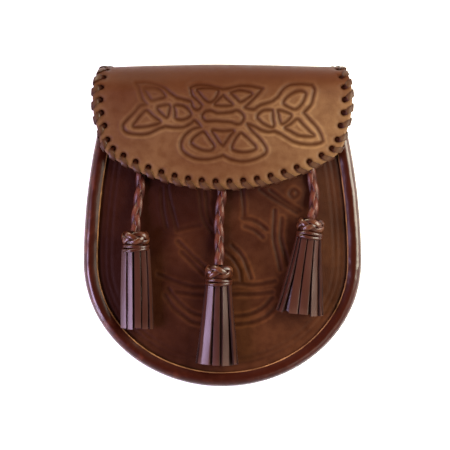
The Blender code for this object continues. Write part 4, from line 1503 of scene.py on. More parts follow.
@dataclass
class FlapPattern:
    """The flap's leather laid flat: x across, s along from its end on the back."""

    form: PouchForm
    width: float = 0.1652
    fold_width: float = 0.1580
    edge_width: float = 0.1575
    lap_width: float = 0.1360
    length_in_front: float = 0.0803
    widest_down: float = 0.0237
    edge_radius: float = 0.132
    corner_radius: float = 0.019
    lap: float = 0.027
    droop: float = 0.0024
    sag: float = 0.0012
    back_radius: float = 0.014
    front_radius: float = 0.018
    leather: float = 0.0024
    cord_below: float = 0.0060
    lace_below: float = 0.0020
    lace_pitch: float = 0.0091
    lace_inset: float = 0.0050
    bend_points: int = 60
    front_points: int = 80
    side_points: int = 160
    corner_points: int = 40
    low_points: int = 120
    corner_columns: int = 13
    side_coarseness: float = 1.6

    def __post_init__(self) -> None:
        """Lays out the bent line and the corners."""
        form = self.form
        self.fold = -form.bottom
        below = form.panel_edge + form.panel_crown + self.cord_below + self.lace_below
        self.top = below + 4 * form.clearance + self.leather
        low = form.loop_stand - form.clearance - self.leather
        turn = np.linspace(0, math.pi / 2, self.bend_points)
        back_y, front_y = self.fold - self.back_radius, self.fold - self.front_radius
        share = np.linspace(0, 1, self.front_points)[1:]
        edge_y = self.fold - self.length_in_front
        line = [np.array([[back_y - self.lap, low]])]
        line.append(np.stack([back_y + self.back_radius * np.sin(turn),
                              low + self.back_radius * (1 - np.cos(turn))], axis=1))
        line.append(np.stack([front_y + self.front_radius * np.cos(turn),
                              self.top - self.front_radius * (1 - np.sin(turn))], axis=1))
        line.append(np.stack([front_y + (edge_y - front_y) * share,
                              self.top - self.sag * np.sin(math.pi * share)], axis=1))
        self.line = np.vstack(line)
        self.stations = lengths_along(self.line)
        self.length = float(self.stations[-1])
        way = unit(np.gradient(self.line, self.stations, axis=0))
        self.out = np.stack([way[:, 1], -way[:, 0]], axis=1)
        self.crest = self.length - self.length_in_front
        self.widest = self.crest + self.widest_down
        inner = self.edge_radius - self.corner_radius
        self.corner_x = self.edge_width / 2 - self.corner_radius
        self.corner_s = self.length - self.edge_radius + math.sqrt(inner**2 - self.corner_x**2)
        self.corner_end = math.acos(self.corner_x / inner)
        self.tangent = self.corner_x + self.corner_radius * math.cos(self.corner_end)

    def half(self, s: Array) -> Array:
        """Half the flap's width.

        Args:
            s: how far along the leather each place is.

        Returns:
            Half the width at each place.
        """
        low = ramp(s, self.widest, self.corner_s - self.widest)
        front = self.width - (self.width - self.edge_width) * low**2
        high = (self.widest - s) / (self.widest - self.crest)
        fold = self.width - (self.width - self.fold_width) * high**2
        share = np.clip((self.crest - s) / (self.crest - self.lap), 0, 1)
        fade = (1 - np.cos(math.pi * share)) / 2
        back = self.fold_width - (self.fold_width - self.lap_width) * fade
        return np.where(s >= self.widest, front, np.where(s >= self.crest, fold, back)) / 2

    def place(self, x: Array, s: Array, lift: Array) -> Array:
        """Points on or over the bent leather.

        Args:
            x: how far across each place is.
            s: how far along the leather it is.
            lift: how far above the outer side it is.

        Returns:
            The points, a row each.
        """
        y, z = at_lengths(s, self.stations, self.line).T
        out_y, out_z = at_lengths(s, self.stations, self.out).T
        past = np.maximum(0, s - self.length)
        fade = ramp(s, self.lap, self.crest - self.lap)
        rise = lift - self.droop * fade * (2 * x / self.width) ** 2
        return np.stack([x, y + out_y * rise - past, z + out_z * rise], axis=1)

    def edge(self) -> Array:
        """The laced edge, laid flat, from the back lap on the left to that on the right.

        Returns:
            Close points, a row each.
        """
        s = np.linspace(self.lap, self.corner_s, self.side_points, endpoint=False)
        side = np.stack([self.half(s), s], axis=1)
        turn = np.linspace(0, self.corner_end, self.corner_points, endpoint=False)
        corner = np.stack([self.corner_x + self.corner_radius * np.cos(turn),
                           self.corner_s + self.corner_radius * np.sin(turn)], axis=1)
        turn = np.linspace(math.pi / 2 - self.corner_end, 0, self.low_points)
        low = np.stack([self.edge_radius * np.sin(turn),
                        self.length - self.edge_radius * (1 - np.cos(turn))], axis=1)
        right = np.vstack([side, corner, low])
        return np.vstack([right[:-1] * (-1, 1), right[::-1]])

    def lower_end(self, x: Array) -> Array:
        """Where the leather ends below.

        Args:
            x: places on the lower edge.

        Returns:
            How far along the leather it ends at each of them.
        """
        bow = self.length - self.edge_radius + np.sqrt(self.edge_radius**2 - x**2)
        off = np.clip(np.abs(x) - self.corner_x, 0, self.corner_radius)
        corner = self.corner_s + np.sqrt(np.maximum(0, self.corner_radius**2 - off**2))
        return np.where(np.abs(x) > self.tangent, corner, bow)

    def grid(self, fine: float, coarse: float, tooled_half: float, tooled_s: float) -> Array:
        """Flat places on the outer side, close together where the leather is tooled.

        Args:
            fine: step in the tooled part.
            coarse: step elsewhere.
            tooled_half: half the width of the tooled part.
            tooled_s: where the tooled part starts.

        Returns:
            Rows of columns of places.
        """
        middle = np.arange(0, tooled_half, fine)
        side = np.arange(tooled_half, self.tangent, self.side_coarseness * fine)
        turn = np.linspace(self.corner_end, 0, self.corner_columns)
        corner = self.corner_x + self.corner_radius * np.cos(turn)
        half = np.concatenate([middle, side, corner])
        x = np.concatenate([-half[:0:-1], half])
        corners = self.corner_s
        rows = np.concatenate([np.arange(0, tooled_s, coarse), np.arange(tooled_s, corners, fine)])
        plain = np.stack([x[None, :] / x[-1] * self.half(rows)[:, None],
                          np.repeat(rows[:, None], len(x), axis=1)], axis=2)
        share = np.linspace(0, 1, round((self.length - corners) / fine))[:, None]
        s = corners + (self.lower_end(x)[None, :] - corners) * share
        low = np.stack([np.repeat(x[None, :], len(share), axis=0), s], axis=2)
        return np.vstack([plain, low])


# Turns of the thong in one stitch: out from the flap's edge, lift over its outer side and the way
# that the thong's face looks, out and up. Along is the share of the way to the next hole
STITCH = (
    {"along": 0.00, "out": -4.30, "lift": -1.50, "look_out": -0.7, "look_up": 0.6, "width": 3.0},
    {"along": 0.03, "out": -3.65, "lift": -0.40, "look_out": -0.7, "look_up": 0.7, "width": 3.1},
    {"along": 0.07, "out": -3.00, "lift": 0.25, "look_out": -0.3, "look_up": 1.0, "width": 3.3},
    {"along": 0.22, "out": -1.70, "lift": 0.38, "look_out": 0.1, "look_up": 1.0, "width": 3.7},
    {"along": 0.38, "out": -0.10, "lift": 0.10, "look_out": 0.5, "look_up": 1.0, "width": 4.0},
    {"along": 0.45, "out": 0.55, "lift": -0.60, "look_out": 1.0, "look_up": 0.3, "width": 4.0},
    {"along": 0.49, "out": 0.60, "lift": -1.60, "look_out": 1.0, "look_up": -0.2, "width": 3.9},
    {"along": 0.55, "out": 0.10, "lift": -2.60, "look_out": 0.6, "look_up": -0.9, "width": 3.8},
    {"along": 0.66, "out": -1.30, "lift": -2.95, "look_out": 0.0, "look_up": -1.0, "width": 3.6},
    {"along": 0.90, "out": -4.60, "lift": -2.95, "look_out": 0.0, "look_up": -1.0, "width": 4.6},
    {"along": 1.02, "out": -6.10, "lift": -2.75, "look_out": -0.2, "look_up": -1.0, "width": 4.8},
    {"along": 1.03, "out": -6.30, "lift": -2.30, "look_out": -1.0, "look_up": 0.2, "width": 4.4},
)


@dataclass
class Flap:
    """The tooled flap with its punched holes, and the thong laced round its edge."""

    pattern: FlapPattern
    hole_radius: float = 0.0018
    hole_reach: float = 1.2
    chart: Chart = Chart((LEFT_KNOT, RIGHT_KNOT), 0.64 * MM, (0.0003, 0.0683))
    chart_step: float = 0.15 * MM
    tool: Tool = Tool(depth=0.60 * MM, width=0.95 * MM, shoulder=0.20 * MM, shoulder_at=2.5 * MM,
                      shoulder_width=1.0 * MM, ridge_highlight_and_rub=0.9, ridge_at=2.3 * MM,
                      ridge_width=0.8 * MM)
    tooled_half: float = 0.0660
    tooled_length: float = 0.0690
    fine: float = 0.45 * MM
    coarse: float = 1.6 * MM
    plain_cell: int = 9
    weak_press: Patch = Patch(-0.050, 0.090, 0.016, 0.6)
    edge_drop: float = 0.75 * MM
    edge_drop_reach: float = 1.3 * MM
    inner_drop: float = 0.5 * MM
    inner_drop_reach: float = 1.0 * MM
    hole_dip: float = 0.40 * MM
    hole_dip_reach: float = 1.1 * MM
    swell: Lumps = Lumps(0.30 * MM, 30 * MM, 8.2)
    # Lighter patches: the one on the right is a painted sheen from the lamps, the one at the lower
    # left a lighter patch.
    worn: tuple[Patch, ...] = (Patch(0.052, 0.066, 0.038, 0.34), Patch(-0.044, 0.046, 0.028, 0.18))
    # Even lightening over the front, with lumps of wear; it fades out below the fold as painted shade.
    wear: float = 0.085
    wear_lumps: Lumps = Lumps(1.0, 18 * MM, 2.9)
    edge_rub: float = 0.30
    edge_rub_full: float = 0.9
    edge_rub_reach: float = 14 * MM
    # Painted shade below the fold: the lightening fades out towards the fold.
    fold_shade_from_y: float = 0.094
    fold_shade_fade: float = 16 * MM
    most_rub_and_light: float = 0.9
    dye: float = 0.85
    # Darker leather round the punched holes.
    hole_darkening: float = 0.9
    hole_darkening_reach: float = 0.7 * MM
    thong_thickness: float = 1.10 * MM
    thong_step: float = 0.55 * MM
    thong_sides: int = 10
    thong_squareness: float = 0.75
    thong_rub: float = 0.45
    look_ahead: float = 0.1 * MM
    # Painted shade on the thong: near and inside the hole and under the flap, and where it goes round
    # the outer edge.
    hole_shade_from: float = 2.9 * MM
    hole_shade_over: float = 0.6 * MM
    crown_at: float = 0.4 * MM
    crown_over: float = 1.2 * MM
    edge_turn_shade_from: float = -0.9 * MM
    edge_turn_shade_over: float = 1.2 * MM
    edge_turn_shade_share: float = 0.55

    def __post_init__(self) -> None:
        """Lays out the laced edge, its holes and the tooled lines."""
        self.edge = self.pattern.edge()
        self.lengths = lengths_along(self.edge)
        way = unit(np.gradient(self.edge, self.lengths, axis=0))
        self.inward = np.stack([way[:, 1], -way[:, 0]], axis=1)
        count = int(self.lengths[-1] / self.pattern.lace_pitch)
        at = self.lengths[-1] * (np.arange(count) + 0.5) / count
        laced = self.edge + self.inward * self.pattern.lace_inset
        self.holes = at_lengths(at, self.lengths, laced)
        self.lines = Nearness(self.chart.lines(self.chart_step))
        self.border = Nearness([self.edge])
        self.near_hole = Nearness([self.holes])

    def build(self) -> None:
        """Builds the flap and its lacing."""
        self.leather()
        self.lacing()

    def rub(self, flat: Array, bent: Array, distance: Array,
            to_edge: Array) -> Array:
        """How light the front of the leather is made by wear and painted light, with painted shade
        below the fold.

        Args:
            flat: the places laid flat.
            bent: the same places on the bent leather.
            distance: how far each is from a tooled line.
            to_edge: how far each is from the laced edge.

        Returns:
            A value for each place.
        """
        full = np.clip(self.edge_rub_full - to_edge / self.edge_rub_reach, 0, 1)
        rub = self.edge_rub * full
        # A painted sheen on the right and a lighter patch at the lower left.
        for patch in self.worn:
            rub = rub + patch.at(bent)
        rub = rub + self.wear * (1 + self.wear_lumps.at(flat))
        # Painted shade: the lightening fades out towards the fold, so the band below it stays darker.
        rub = rub * np.clip((self.fold_shade_from_y - bent[:, 1]) / self.fold_shade_fade, 0, 1)
        return np.clip(rub * self.tool.wear(distance), 0, self.most_rub_and_light)

    def place(self, x: Array, s: Array, z: Array) -> Placed:
        """Presses the flat sheet and bends it over the mouth.

        Args:
            x: flat places across.
            s: flat places along the leather.
            z: heights over the outer side.

        Returns:
            The points, their wear and painted light, and the dye of the tooled lines with the
            darkening round the holes.
        """
        pattern = self.pattern
        outer = z > -pattern.leather / 2
        bent = pattern.place(x, s, z)
        front = bent[:, 2] > pattern.top - pattern.front_radius / 2
        distance = np.where(front, self.lines.distances(bent[:, 0], bent[:, 1]), 1.0)
        to_edge = self.border.distances(x, s)
        to_hole = self.near_hole.distances(x, s) - self.hole_radius
        flat = np.stack([x, s, np.zeros(len(x))], axis=1)
        firm = 1 - self.weak_press.at(bent)
        relief = self.tool.relief(distance) * firm
        relief = relief - self.edge_drop * np.clip(1 - to_edge / self.edge_drop_reach, 0, 1) ** 2
        relief = relief - self.hole_dip * bell(to_hole, self.hole_dip_reach)
        relief = relief + self.swell.at(flat)
        inner = self.inner_drop * np.clip(1 - to_edge / self.inner_drop_reach, 0, 1) ** 2
        points = pattern.place(x, s, z + np.where(outer, relief, inner))
        rub = np.where(outer & front, self.rub(flat, bent, distance, to_edge), 0)
        # The tooled lines' dye, and darker leather round the holes.
        dye = np.maximum(self.tool.darkness(distance) * self.dye * firm,
                         bell(to_hole, self.hole_darkening_reach) * self.hole_darkening)
        return points, rub, np.where(outer, dye, 0)

    def walls(self, middles: Array) -> Array:
        """The number of a cut face's material: the holes have their own."""
        to_hole = self.near_hole.distances(middles[:, 0], middles[:, 1])
        return np.where(to_hole < self.hole_reach * self.hole_radius, 3, 2)

    def leather(self) -> None:
        """Makes the tooled leather."""
        pattern = self.pattern
        start = pattern.length - self.tooled_length
        grid = pattern.grid(self.fine, self.coarse, self.tooled_half, start)
        sheet = Sheet(grid, pattern.leather, self.plain_cell)
        sheet.punch(self.holes, self.hole_radius)
        mesh = sheet.bend("flap_tooled", self.place, self.walls)
        finishes = (FLAP_LEATHER, FLESH_SIDE, CUT_EDGE, HOLE_EDGE)
        place_mesh(mesh, finishes, ("flap",), 60)

    def lacing(self) -> None:
        """Laces the thong up through a hole, over the edge, back below and to the next hole."""
        pattern = self.pattern
        pitch = self.lengths[-1] / len(self.holes)
        keys = [
            (pitch * (number + 0.5 + turn["along"]), turn["out"] * MM, turn["lift"] * MM,
             turn["look_out"], turn["look_up"], turn["width"] * MM)
            for number in range(len(self.holes) - 1) for turn in STITCH
        ]
        at, out, lift, look_out, look_up, width = smooth(np.array(keys), self.thong_step).T
        outward = -at_lengths(at, self.lengths, self.inward)
        flat = at_lengths(at, self.lengths, self.edge) + outward * out[:, None]
        centres = pattern.place(flat[:, 0], flat[:, 1], lift)
        above = pattern.place(flat[:, 0], flat[:, 1], lift + self.look_ahead)
        ahead = flat + outward * self.look_ahead
        beside = pattern.place(ahead[:, 0], ahead[:, 1], lift)
        ups = unit(above - centres) * look_up[:, None] + unit(beside - centres) * look_out[:, None]
        ring = section(self.thong_sides, self.thong_squareness)
        rings = strip_rings(centres, ups, width, self.thong_thickness, ring)
        # Painted shade: the thong darkens near and inside the hole and under the flap, and where it
        # goes round the edge.
        sunk = ramp(-out, self.hole_shade_from, self.hole_shade_over)
        crown = np.clip(1 + (lift - self.crown_at) / self.crown_over, 0, 1) * (1 - sunk)
        edge_turn_shade = self.edge_turn_shade_share * ramp(out, self.edge_turn_shade_from, self.edge_turn_shade_over)
        dark = np.repeat(np.maximum(sunk, edge_turn_shade), len(ring))
        shape = Shape()
        shape.sweep(rings, rub=face_rub(crown, ring, self.thong_rub), tooling=dark)
        shape.piece("flap_thong", (LACE_LEATHER,), Slot.TAN, ("flap_lacing",), 60)


# Tassels


class Side(Enum):
    """The three tassels."""

    LEFT = "left"
    CENTRE = "centre"
    RIGHT = "right"


# Route of each cord from its keeper to its collar as x, y and rise, and the tassel on its end
TASSELS = {
    Side.LEFT: {
        "route": (
            (-0.0520, 0.0475, 0.0), (-0.0524, 0.0400, 0.0), (-0.0522, 0.0330, 0.0),
            (-0.0526, 0.0240, 0.0), (-0.0540, 0.0140, 0.1), (-0.0552, 0.0040, 0.75),
            (-0.0555, -0.0040, 1.0),
        ),
        "cord": 0.052, "length": 0.0490, "head": 0.0176, "end": 0.0204, "lean": 0.8, "turn": 0.3,
        "twists": {1: 16, 3: 9, 4: -8},
    },
    Side.CENTRE: {
        "route": (
            (0.0006, 0.0375, 0.0), (0.0004, 0.0300, 0.0), (-0.0004, 0.0200, 0.0),
            (-0.0018, 0.0090, 0.0), (-0.0023, 0.0000, 0.0), (-0.0021, -0.0080, 0.1),
            (-0.0020, -0.0175, 0.75), (-0.0022, -0.0254, 1.0),
        ),
        "cord": 0.0635, "length": 0.0504, "head": 0.0166, "end": 0.0268, "lean": -0.9, "turn": 1.1,
        "twists": {0: -20, 2: 1, 10: -23},
    },
    Side.RIGHT: {
        "route": (
            (0.0552, 0.0475, 0.0), (0.0556, 0.0410, 0.0), (0.0564, 0.0340, 0.0),
            (0.0578, 0.0270, 0.0), (0.0586, 0.0190, 0.15), (0.0580, 0.0110, 0.75),
            (0.0567, 0.0040, 1.0),
        ),
        "cord": 0.044, "length": 0.0480, "head": 0.0160, "end": 0.0300, "lean": -7.4, "turn": 2.0,
        "twists": {0: -7, 1: 27, 2: -15, 8: -17, 9: -14, 10: 3},
    },
}


@dataclass
class Tassel:
    """A plaited cord, the woven collar on its end and the strips below it."""

    side: Side
    form: PouchForm
    cord_diameter: float = 0.0060
    cord_step: float = 0.5 * MM
    plait_strands: int = 3
    plait_length: float = 36 * MM
    plait_strand: float = 3.8 * MM
    plait_thickness: float = 1.7 * MM
    plait_overlap: float = 0.8
    plait_rise: float = 0.95 * MM
    plait_tilt: float = 0.35
    plait_rub: float = 0.5
    plait_under_shade: float = 0.6
    collar_width: float = 0.0182
    collar_depth: float = 0.0140
    collar_height: float = 0.0130
    collar_strand: float = 3.5 * MM
    collar_turns: int = 3
    collar_bights: int = 5
    collar_samples: int = 420
    collar_fit: float = 0.92
    collar_waist: float = 0.10
    collar_inset: float = 0.45 * MM
    collar_rise: float = 0.55 * MM
    collar_tilt: float = 0.35
    collar_rub: float = 0.4
    collar_dark: float = 0.55
    strand_thickness: float = 1.5 * MM
    wraps: int = 2
    wrap_width: float = 2.1 * MM
    wrap_samples: int = 60
    wrap_fit: float = 1.02
    wrap_start: float = 0.55
    wrap_swell: float = 0.25 * MM
    wrap_wander: float = 0.35 * MM
    core_inset: float = 0.9 * MM
    core_reach: float = 0.46
    core_rings: int = 9
    core_sides: int = 28
    core_taper: float = 0.22
    core_shade: float = 0.9
    strips: int = 11
    inner_strips: int = 7
    inner_size: float = 0.72
    strip_width: float = 5.6 * MM
    strip_thickness: float = 1.3 * MM
    strip_points: int = 22
    strip_overlap: float = 1.5 * MM
    strip_sunk: float = 0.55 * MM
    strip_wave: float = 0.12 * MM
    head_depth: float = 0.40
    end_depth: float = 0.42
    flare: float = 1.15

    def __post_init__(self) -> None:
        """Finds where the tassel lies."""
        self.facts = TASSELS[self.side]
        self.depth_share = self.collar_depth / self.collar_width
        self.radius = self.collar_width / 2 - self.strand_thickness / 2 - self.collar_inset
        end = Vector(self.facts["route"][-1][:2])
        lean = math.radians(self.facts["lean"])
        down = Vector((math.sin(lean), -math.cos(lean)))
        middle = end + down * (self.collar_height / 2 - self.form.clearance)
        tip = end + down * (self.collar_height + self.facts["length"])
        high = self.rest(middle.x, middle.y, self.collar_width / 4)
        low = self.rest(tip.x, tip.y, self.collar_width / 4)
        slope = math.atan2(high - low, (tip - middle).length)
        turn = Matrix.Rotation(lean, 4, "Z") @ Matrix.Rotation(slope, 4, "X")
        self.matrix = np.array(Matrix.Translation((middle.x, middle.y, high)) @ turn)

    def rest(self, x: float, y: float, half_size: float) -> float:
        """Height just clear of the front panel under a small square."""
        spots = np.meshgrid(x + half_size * SIDES, y + half_size * SIDES)
        return float(self.form.panel_top(*spots).max()) + self.form.clearance

    def world(self, local: Array) -> Array:
        """Points moved from the collar's own place to the pouch."""
        return local @ self.matrix[:3, :3].T + self.matrix[:3, 3]

    def build(self) -> None:
        """Builds the collar, the strips and the cord that they hang on."""
        collar = self.collar()
        skirt = self.skirt()
        self.cord(collar, skirt)

    def cord_line(self) -> Array:
        """The cord's middle line.

        Returns:
            Close points, a row each.
        """
        route = []
        for x, y, rise in self.facts["route"]:
            lift = self.cord_diameter / 2 + (self.collar_depth - self.cord_diameter) / 2 * rise
            route.append((x, y, self.rest(x, y, self.cord_diameter / 4) + lift))
        return smooth(np.array(route), self.cord_step)

    def cord(self, collar: bpy.types.Object, skirt: bpy.types.Object) -> None:
        """Plaits the cord of three thongs.

        Args:
            collar: the collar on its end; not used.
            skirt: the strips below the collar; not used.
        """
        line = self.cord_line()
        lengths = lengths_along(line)
        along = unit(np.gradient(line, axis=0))
        across = unit(np.cross(along, UP))
        ups = np.cross(across, along)
        shape = Shape()
        ring = section(10, 0.85)
        reach = (self.cord_diameter - self.plait_strand * self.plait_overlap) / 2
        for strand in range(self.plait_strands):
            turns = lengths / self.plait_length + strand / self.plait_strands
            phase = 2 * math.pi * turns + self.facts["turn"]
            over = np.sin(2 * phase)
            centres = line + across * (reach * np.sin(phase))[:, None]
            centres = centres + ups * (self.plait_rise * over)[:, None]
            tilt = ups + across * (self.plait_tilt * np.sin(phase))[:, None]
            rings = strip_rings(centres, tilt, self.plait_strand, self.plait_thickness, ring)
            rub = face_rub(np.clip(over, 0, 1), ring, self.plait_rub)
            # Painted shade where a thong dips under the others.
            dark = np.repeat(np.clip(-over, 0, 1) * self.plait_under_shade, len(ring))
            shape.sweep(rings, rub=rub, tooling=dark)
        side = self.side.value
        made = shape.piece("plaited_cord_" + side, (CORD_LEATHER,), Slot.MAHOGANY,
                           ("tassel_cord_" + side,), 60)

    def weave(self, shape: Shape, ring: Array) -> None:
        """Plaits one flat thong round the core.

        Args:
            shape: the collar's shape.
            ring: the thong's section.
        """
        turns = np.linspace(0, 1, self.collar_samples, endpoint=False)
        angle = 2 * math.pi * self.collar_turns * turns + self.facts["turn"]
        phase = 2 * math.pi * self.collar_bights * turns
        over = np.sin(2 * phase)
        wrapped = self.wraps * self.wrap_width
        reach = (self.collar_height - wrapped - self.collar_strand * self.collar_fit) / 2
        shrink = 1 - self.collar_waist * np.sin(phase) ** 2
        off = self.radius * shrink + self.collar_rise * over
        centres = np.stack([
            off * np.cos(angle),
            wrapped / 2 + reach * np.sin(phase),
            off * np.sin(angle) * self.depth_share + self.collar_depth / 2,
        ], axis=1)
        lean = self.collar_tilt * np.sin(phase)
        ups = np.stack([np.cos(angle) * self.depth_share, lean, np.sin(angle)], axis=1)
        thick = self.strand_thickness
        rings = strip_rings(centres, ups, self.collar_strand, thick, ring, closed=True)
        rub = face_rub(np.clip(over, 0, 1), ring, self.collar_rub)
        # Painted shade where the thong dips under its other turns.
        dark = np.repeat(np.clip(-over, 0, 1) * self.collar_dark, len(ring))
        shape.sweep(self.world(rings), looped=True, rub=rub, tooling=dark)

    def wrap(self, shape: Shape, ring: Array, number: int) -> None:
        """Lays one turn of thong below the weave.

        Args:
            shape: the collar's shape.
            ring: the thong's section.
            number: which turn it is, from below.
        """
        angle = 2 * math.pi * np.arange(self.wrap_samples) / self.wrap_samples
        size = self.radius + self.wrap_swell * np.sin(angle + number)
        flat = np.zeros(self.wrap_samples)
        out = np.stack([np.cos(angle), flat, np.sin(angle) * self.depth_share], axis=1)
        level = (number + self.wrap_start) * self.wrap_width - self.collar_height / 2
        middle = out * size[:, None] + (0, level, self.collar_depth / 2)
        middle[:, 1] += self.wrap_wander * np.sin(2 * angle + 2.4 * number + self.facts["turn"])
        width = self.wrap_width * self.wrap_fit
        rings = strip_rings(middle, out, width, self.strand_thickness, ring, closed=True)
        shape.sweep(self.world(rings), looped=True)

    def core(self, shape: Shape) -> None:
        """Fills the collar with a plain barrel, painted dark as the shade seen through the weave.

        Args:
            shape: the collar's shape.
        """
        shares = np.linspace(-self.core_reach, self.core_reach, self.core_rings)
        heights = shares * self.collar_height
        around = 2 * math.pi * np.arange(self.core_sides) / self.core_sides
        taper = 1 - self.core_taper * (2 * heights / self.collar_height) ** 2
        sizes = ((self.radius - self.core_inset) * taper)[:, None]
        barrel = np.zeros((self.core_rings, self.core_sides, 3))
        barrel[:, :, 0] = sizes * np.cos(around)
        barrel[:, :, 1] = heights[:, None]
        barrel[:, :, 2] = sizes * np.sin(around) * self.depth_share + self.collar_depth / 2
        # The barrel is painted dark as shade.
        shape.sweep(self.world(barrel[::-1]), tooling=self.core_shade)

    def collar(self) -> bpy.types.Object:
        """The woven collar: one flat thong plaited three times round a plain core, and wraps.

        Returns:
            The object.
        """
        shape = Shape()
        ring = section(10, 0.8)
        self.weave(shape, ring)
        for number in range(self.wraps):
            self.wrap(shape, ring, number)
        self.core(shape)
        side = self.side.value
        return shape.piece("collar_" + side, (COLLAR_LEATHER,), Slot.MAHOGANY,
                           ("tassel_knot_" + side,), 60)

    def strip(self, number: int, layer: int, chance: np.random.Generator) -> Array:
        """One strip of the skirt.

        Args:
            number: which of its ring's strips it is.
            layer: 0 for the outer ring of strips, and 1 for the inner one.
            chance: the random numbers.

        Returns:
            The strip's rings of points.
        """
        count, size = ((self.strips, 1.0), (self.inner_strips, self.inner_size))[layer]
        thick = self.strip_thickness
        share = np.linspace(0, 1, self.strip_points)
        head = np.array([self.facts["head"] / 2, self.collar_depth * self.head_depth]) - thick / 2
        end = np.array([self.facts["end"] / 2, self.collar_depth * self.end_depth]) - thick / 2
        start = 2 * math.pi * (number + 0.5 * layer) / count + self.facts["turn"]
        angle = start + chance.normal(0, 0.08) * share**2
        length = self.facts["length"] + self.strip_overlap + chance.uniform(-0.9, 0.5) * MM
        bow = 1 + chance.uniform(-0.02, 0.06) * np.sin(math.pi * share)
        sunk = self.strip_sunk * (number % 2)
        a = (head[0] + (end[0] - head[0]) * share**self.flare) * size * bow - sunk
        b = (head[1] + (end[1] - head[1]) * share**self.flare) * size - sunk
        start_z, end_z = self.collar_depth / 2, self.collar_depth * self.end_depth
        lift = start_z + (end_z - start_z) * share
        level = self.strip_overlap - self.collar_height / 2 - length * share
        centres = np.stack([a * np.cos(angle), level, lift + b * np.sin(angle)], axis=1)
        centres[:, 2] += self.strip_wave * np.sin(share * 9 + chance.uniform(0, 6))
        charted = math.radians(self.facts["twists"].get(number, 0)) * (layer == 0)
        twist = charted + chance.normal(0, 0.05) * (0.4 + 0.6 * share)
        facing = np.arctan2(np.sin(angle), np.cos(angle) * b / a) + twist
        ups = np.stack([np.cos(facing), np.zeros(len(share)), np.sin(facing)], axis=1)
        round_about = math.pi * (1.5 * (a + b) - np.sqrt(a * b))
        wide = np.minimum(round_about / count, self.strip_width) * chance.uniform(0.92, 1.08)
        return strip_rings(centres, ups, wide, thick, section(12, 0.2))

    def skirt(self) -> bpy.types.Object:
        """The strips, an outer ring and an inner one.

        Returns:
            The object.
        """
        shape = Shape()
        looks = (0, 0, 0, 0, 1, 1, 1, 0, 0, 0, 1, 1)
        worn_end = np.clip(np.linspace(0, 1, self.strip_points) - 0.9, 0, 1) * 4
        rub = np.repeat(worn_end, len(looks))
        chance = np.random.default_rng(sum(map(ord, self.side.value)))
        for layer, count in enumerate((self.strips, self.inner_strips)):
            for number in range(count):
                rings = self.world(self.strip(number, layer, chance))
                # The inner ring of strips is painted darker as the shade between the outer strips.
                shape.sweep(rings, looks, rub=rub, tooling=0.25 * layer, end_look=1)
        side = self.side.value
        return shape.piece("strips_" + side, (STRIP_LEATHER, STRIP_EDGE), Slot.TASSEL,
                           ("tassel_skirt_" + side,), 30)


# Back


@dataclass
class BeltLoop:
    """A strap loop sewn to the back at its two ends."""

    side: Side
    form: PouchForm
    leather: float = 0.0024
    seat: float = 0.007
    slant: float = 0.006
    flat_share: float = 0.6
    ease: float = 3 * MM
    ease_height: float = 0.3 * MM
    step: float = 0.9 * MM

    def build(self) -> None:
        """Builds the loop."""
        low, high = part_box("belt_loop_" + self.side.value)
        seat_z = high.z - self.leather / 2
        out_z = low.z + self.leather / 2
        across = self.seat + self.slant
        rise = (
            (0, seat_z), (self.seat * self.flat_share, seat_z),
            (self.seat, seat_z - self.ease_height), (across, out_z + self.ease_height),
            (across + self.ease, out_z),
        )
        line = [(low.y + along, z) for along, z in rise]
        line.append(((low.y + high.y) / 2, out_z))
        line += [(high.y - along, z) for along, z in rise[::-1]]
        middle = (low.x + high.x) / 2
        route = smooth(np.array([(middle, y, z) for y, z in line]), self.step)
        route[:, 2] = np.clip(route[:, 2], out_z, seat_z)
        downs = np.tile(DOWN, (len(route), 1))
        shape = Shape()
        rings = strip_rings(route, downs, high.x - low.x, self.leather, section(20, 0.25))
        shape.sweep(rings, end_look=1)
        shape.piece("strap_loop_" + self.side.value, (BACK_LEATHER, CUT_EDGE), Slot.DARK_BROWN,
                    ("belt_loop_" + self.side.value,), 40)


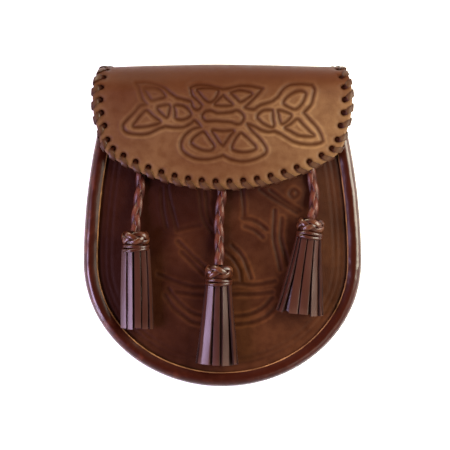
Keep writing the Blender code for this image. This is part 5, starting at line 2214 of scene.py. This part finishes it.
@dataclass
class Stitches:
    """Rows of waxed stitches on the back."""

    form: PouchForm
    pattern: FlapPattern
    length: float = 3.0 * MM
    gap: float = 1.3 * MM
    thickness: float = 0.7 * MM
    points: int = 7
    start: float = 0.15
    thin_end: float = 0.55
    proud: float = 0.5 * MM
    pressed: float = 0.12 * MM
    border_step: float = 1.5 * MM
    border_inset: float = 3.4 * MM
    below_mouth: float = 2 * MM
    loop_leather: float = 0.0024
    loop_insets: Pair = (2.0 * MM, 5.0 * MM)
    loop_side: float = 2 * MM
    lap_rows: Pair = (3.5 * MM, 8.0 * MM)
    lap_half: float = 0.063
    shape: Shape = field(default_factory=Shape)

    def row(self, line: Array, proud: float) -> None:
        """Sews along a line on leather that faces down.

        Args:
            line: close points on the leather.
            proud: how far the stitches stand out of it.
        """
        lengths = lengths_along(line)
        count = int(lengths[-1] / (self.length + self.gap))
        share = np.linspace(0, 1, self.points)
        swell = np.sin(math.pi * share)
        size = self.thickness * (self.thin_end + (1 - self.thin_end) * swell)
        out = np.tile(DOWN, (len(share), 1))
        for number in range(count):
            at = lengths[-1] * (number + self.start) / count + self.length * share
            on_leather = at_lengths(at, lengths, line)
            centres = on_leather + out * (proud * swell - self.thickness / 2)[:, None]
            self.shape.sweep(strip_rings(centres, out, size, size, section(6)))

    def build(self) -> None:
        """Sews the back's border, the strap loops and the flap's lap."""
        form = self.form
        points, normals = form.edge(self.border_step)
        line = points - normals * self.border_inset
        line = line[line[:, 1] < form.mouth - self.below_mouth]
        self.row(np.stack([line[:, 0], line[:, 1], form.back_z(line[:, 1])], axis=1), self.pressed)
        near, far = self.loop_insets
        for side in (Side.LEFT, Side.RIGHT):
            low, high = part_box("belt_loop_" + side.value)
            x = np.linspace(low.x + self.loop_side, high.x - self.loop_side, 40)
            z = np.full(len(x), high.z - self.loop_leather)
            for y in (low.y + near, low.y + far, high.y - far, high.y - near):
                self.row(np.stack([x, np.full(len(x), y), z], axis=1), self.proud)
        for s in self.lap_rows:
            x = np.linspace(-self.lap_half, self.lap_half, 120)
            self.row(self.pattern.place(x, np.full(len(x), s), np.zeros(len(x))), self.proud)
        self.shape.piece("back_stitches", (WAXED_THREAD,), Slot.DARK_BROWN)


def main() -> None:
    """Builds the sporran pouch and its studio."""
    logging.basicConfig(level=logging.INFO, format="%(message)s")
    Studio().build()
    form = PouchForm()
    for side in Side:
        Tassel(side, form).build()
        dress_node("cord_keeper_" + side.value, BACK_LEATHER)
    Pouch(form).build()
    pattern = FlapPattern(form)
    Flap(pattern).build()
    dress_node("press_stud", STUD_BRASS)
    for side in (Side.LEFT, Side.RIGHT):
        BeltLoop(side, form).build()
    Stitches(form, pattern).build()


if __name__ == "__main__":
    main()
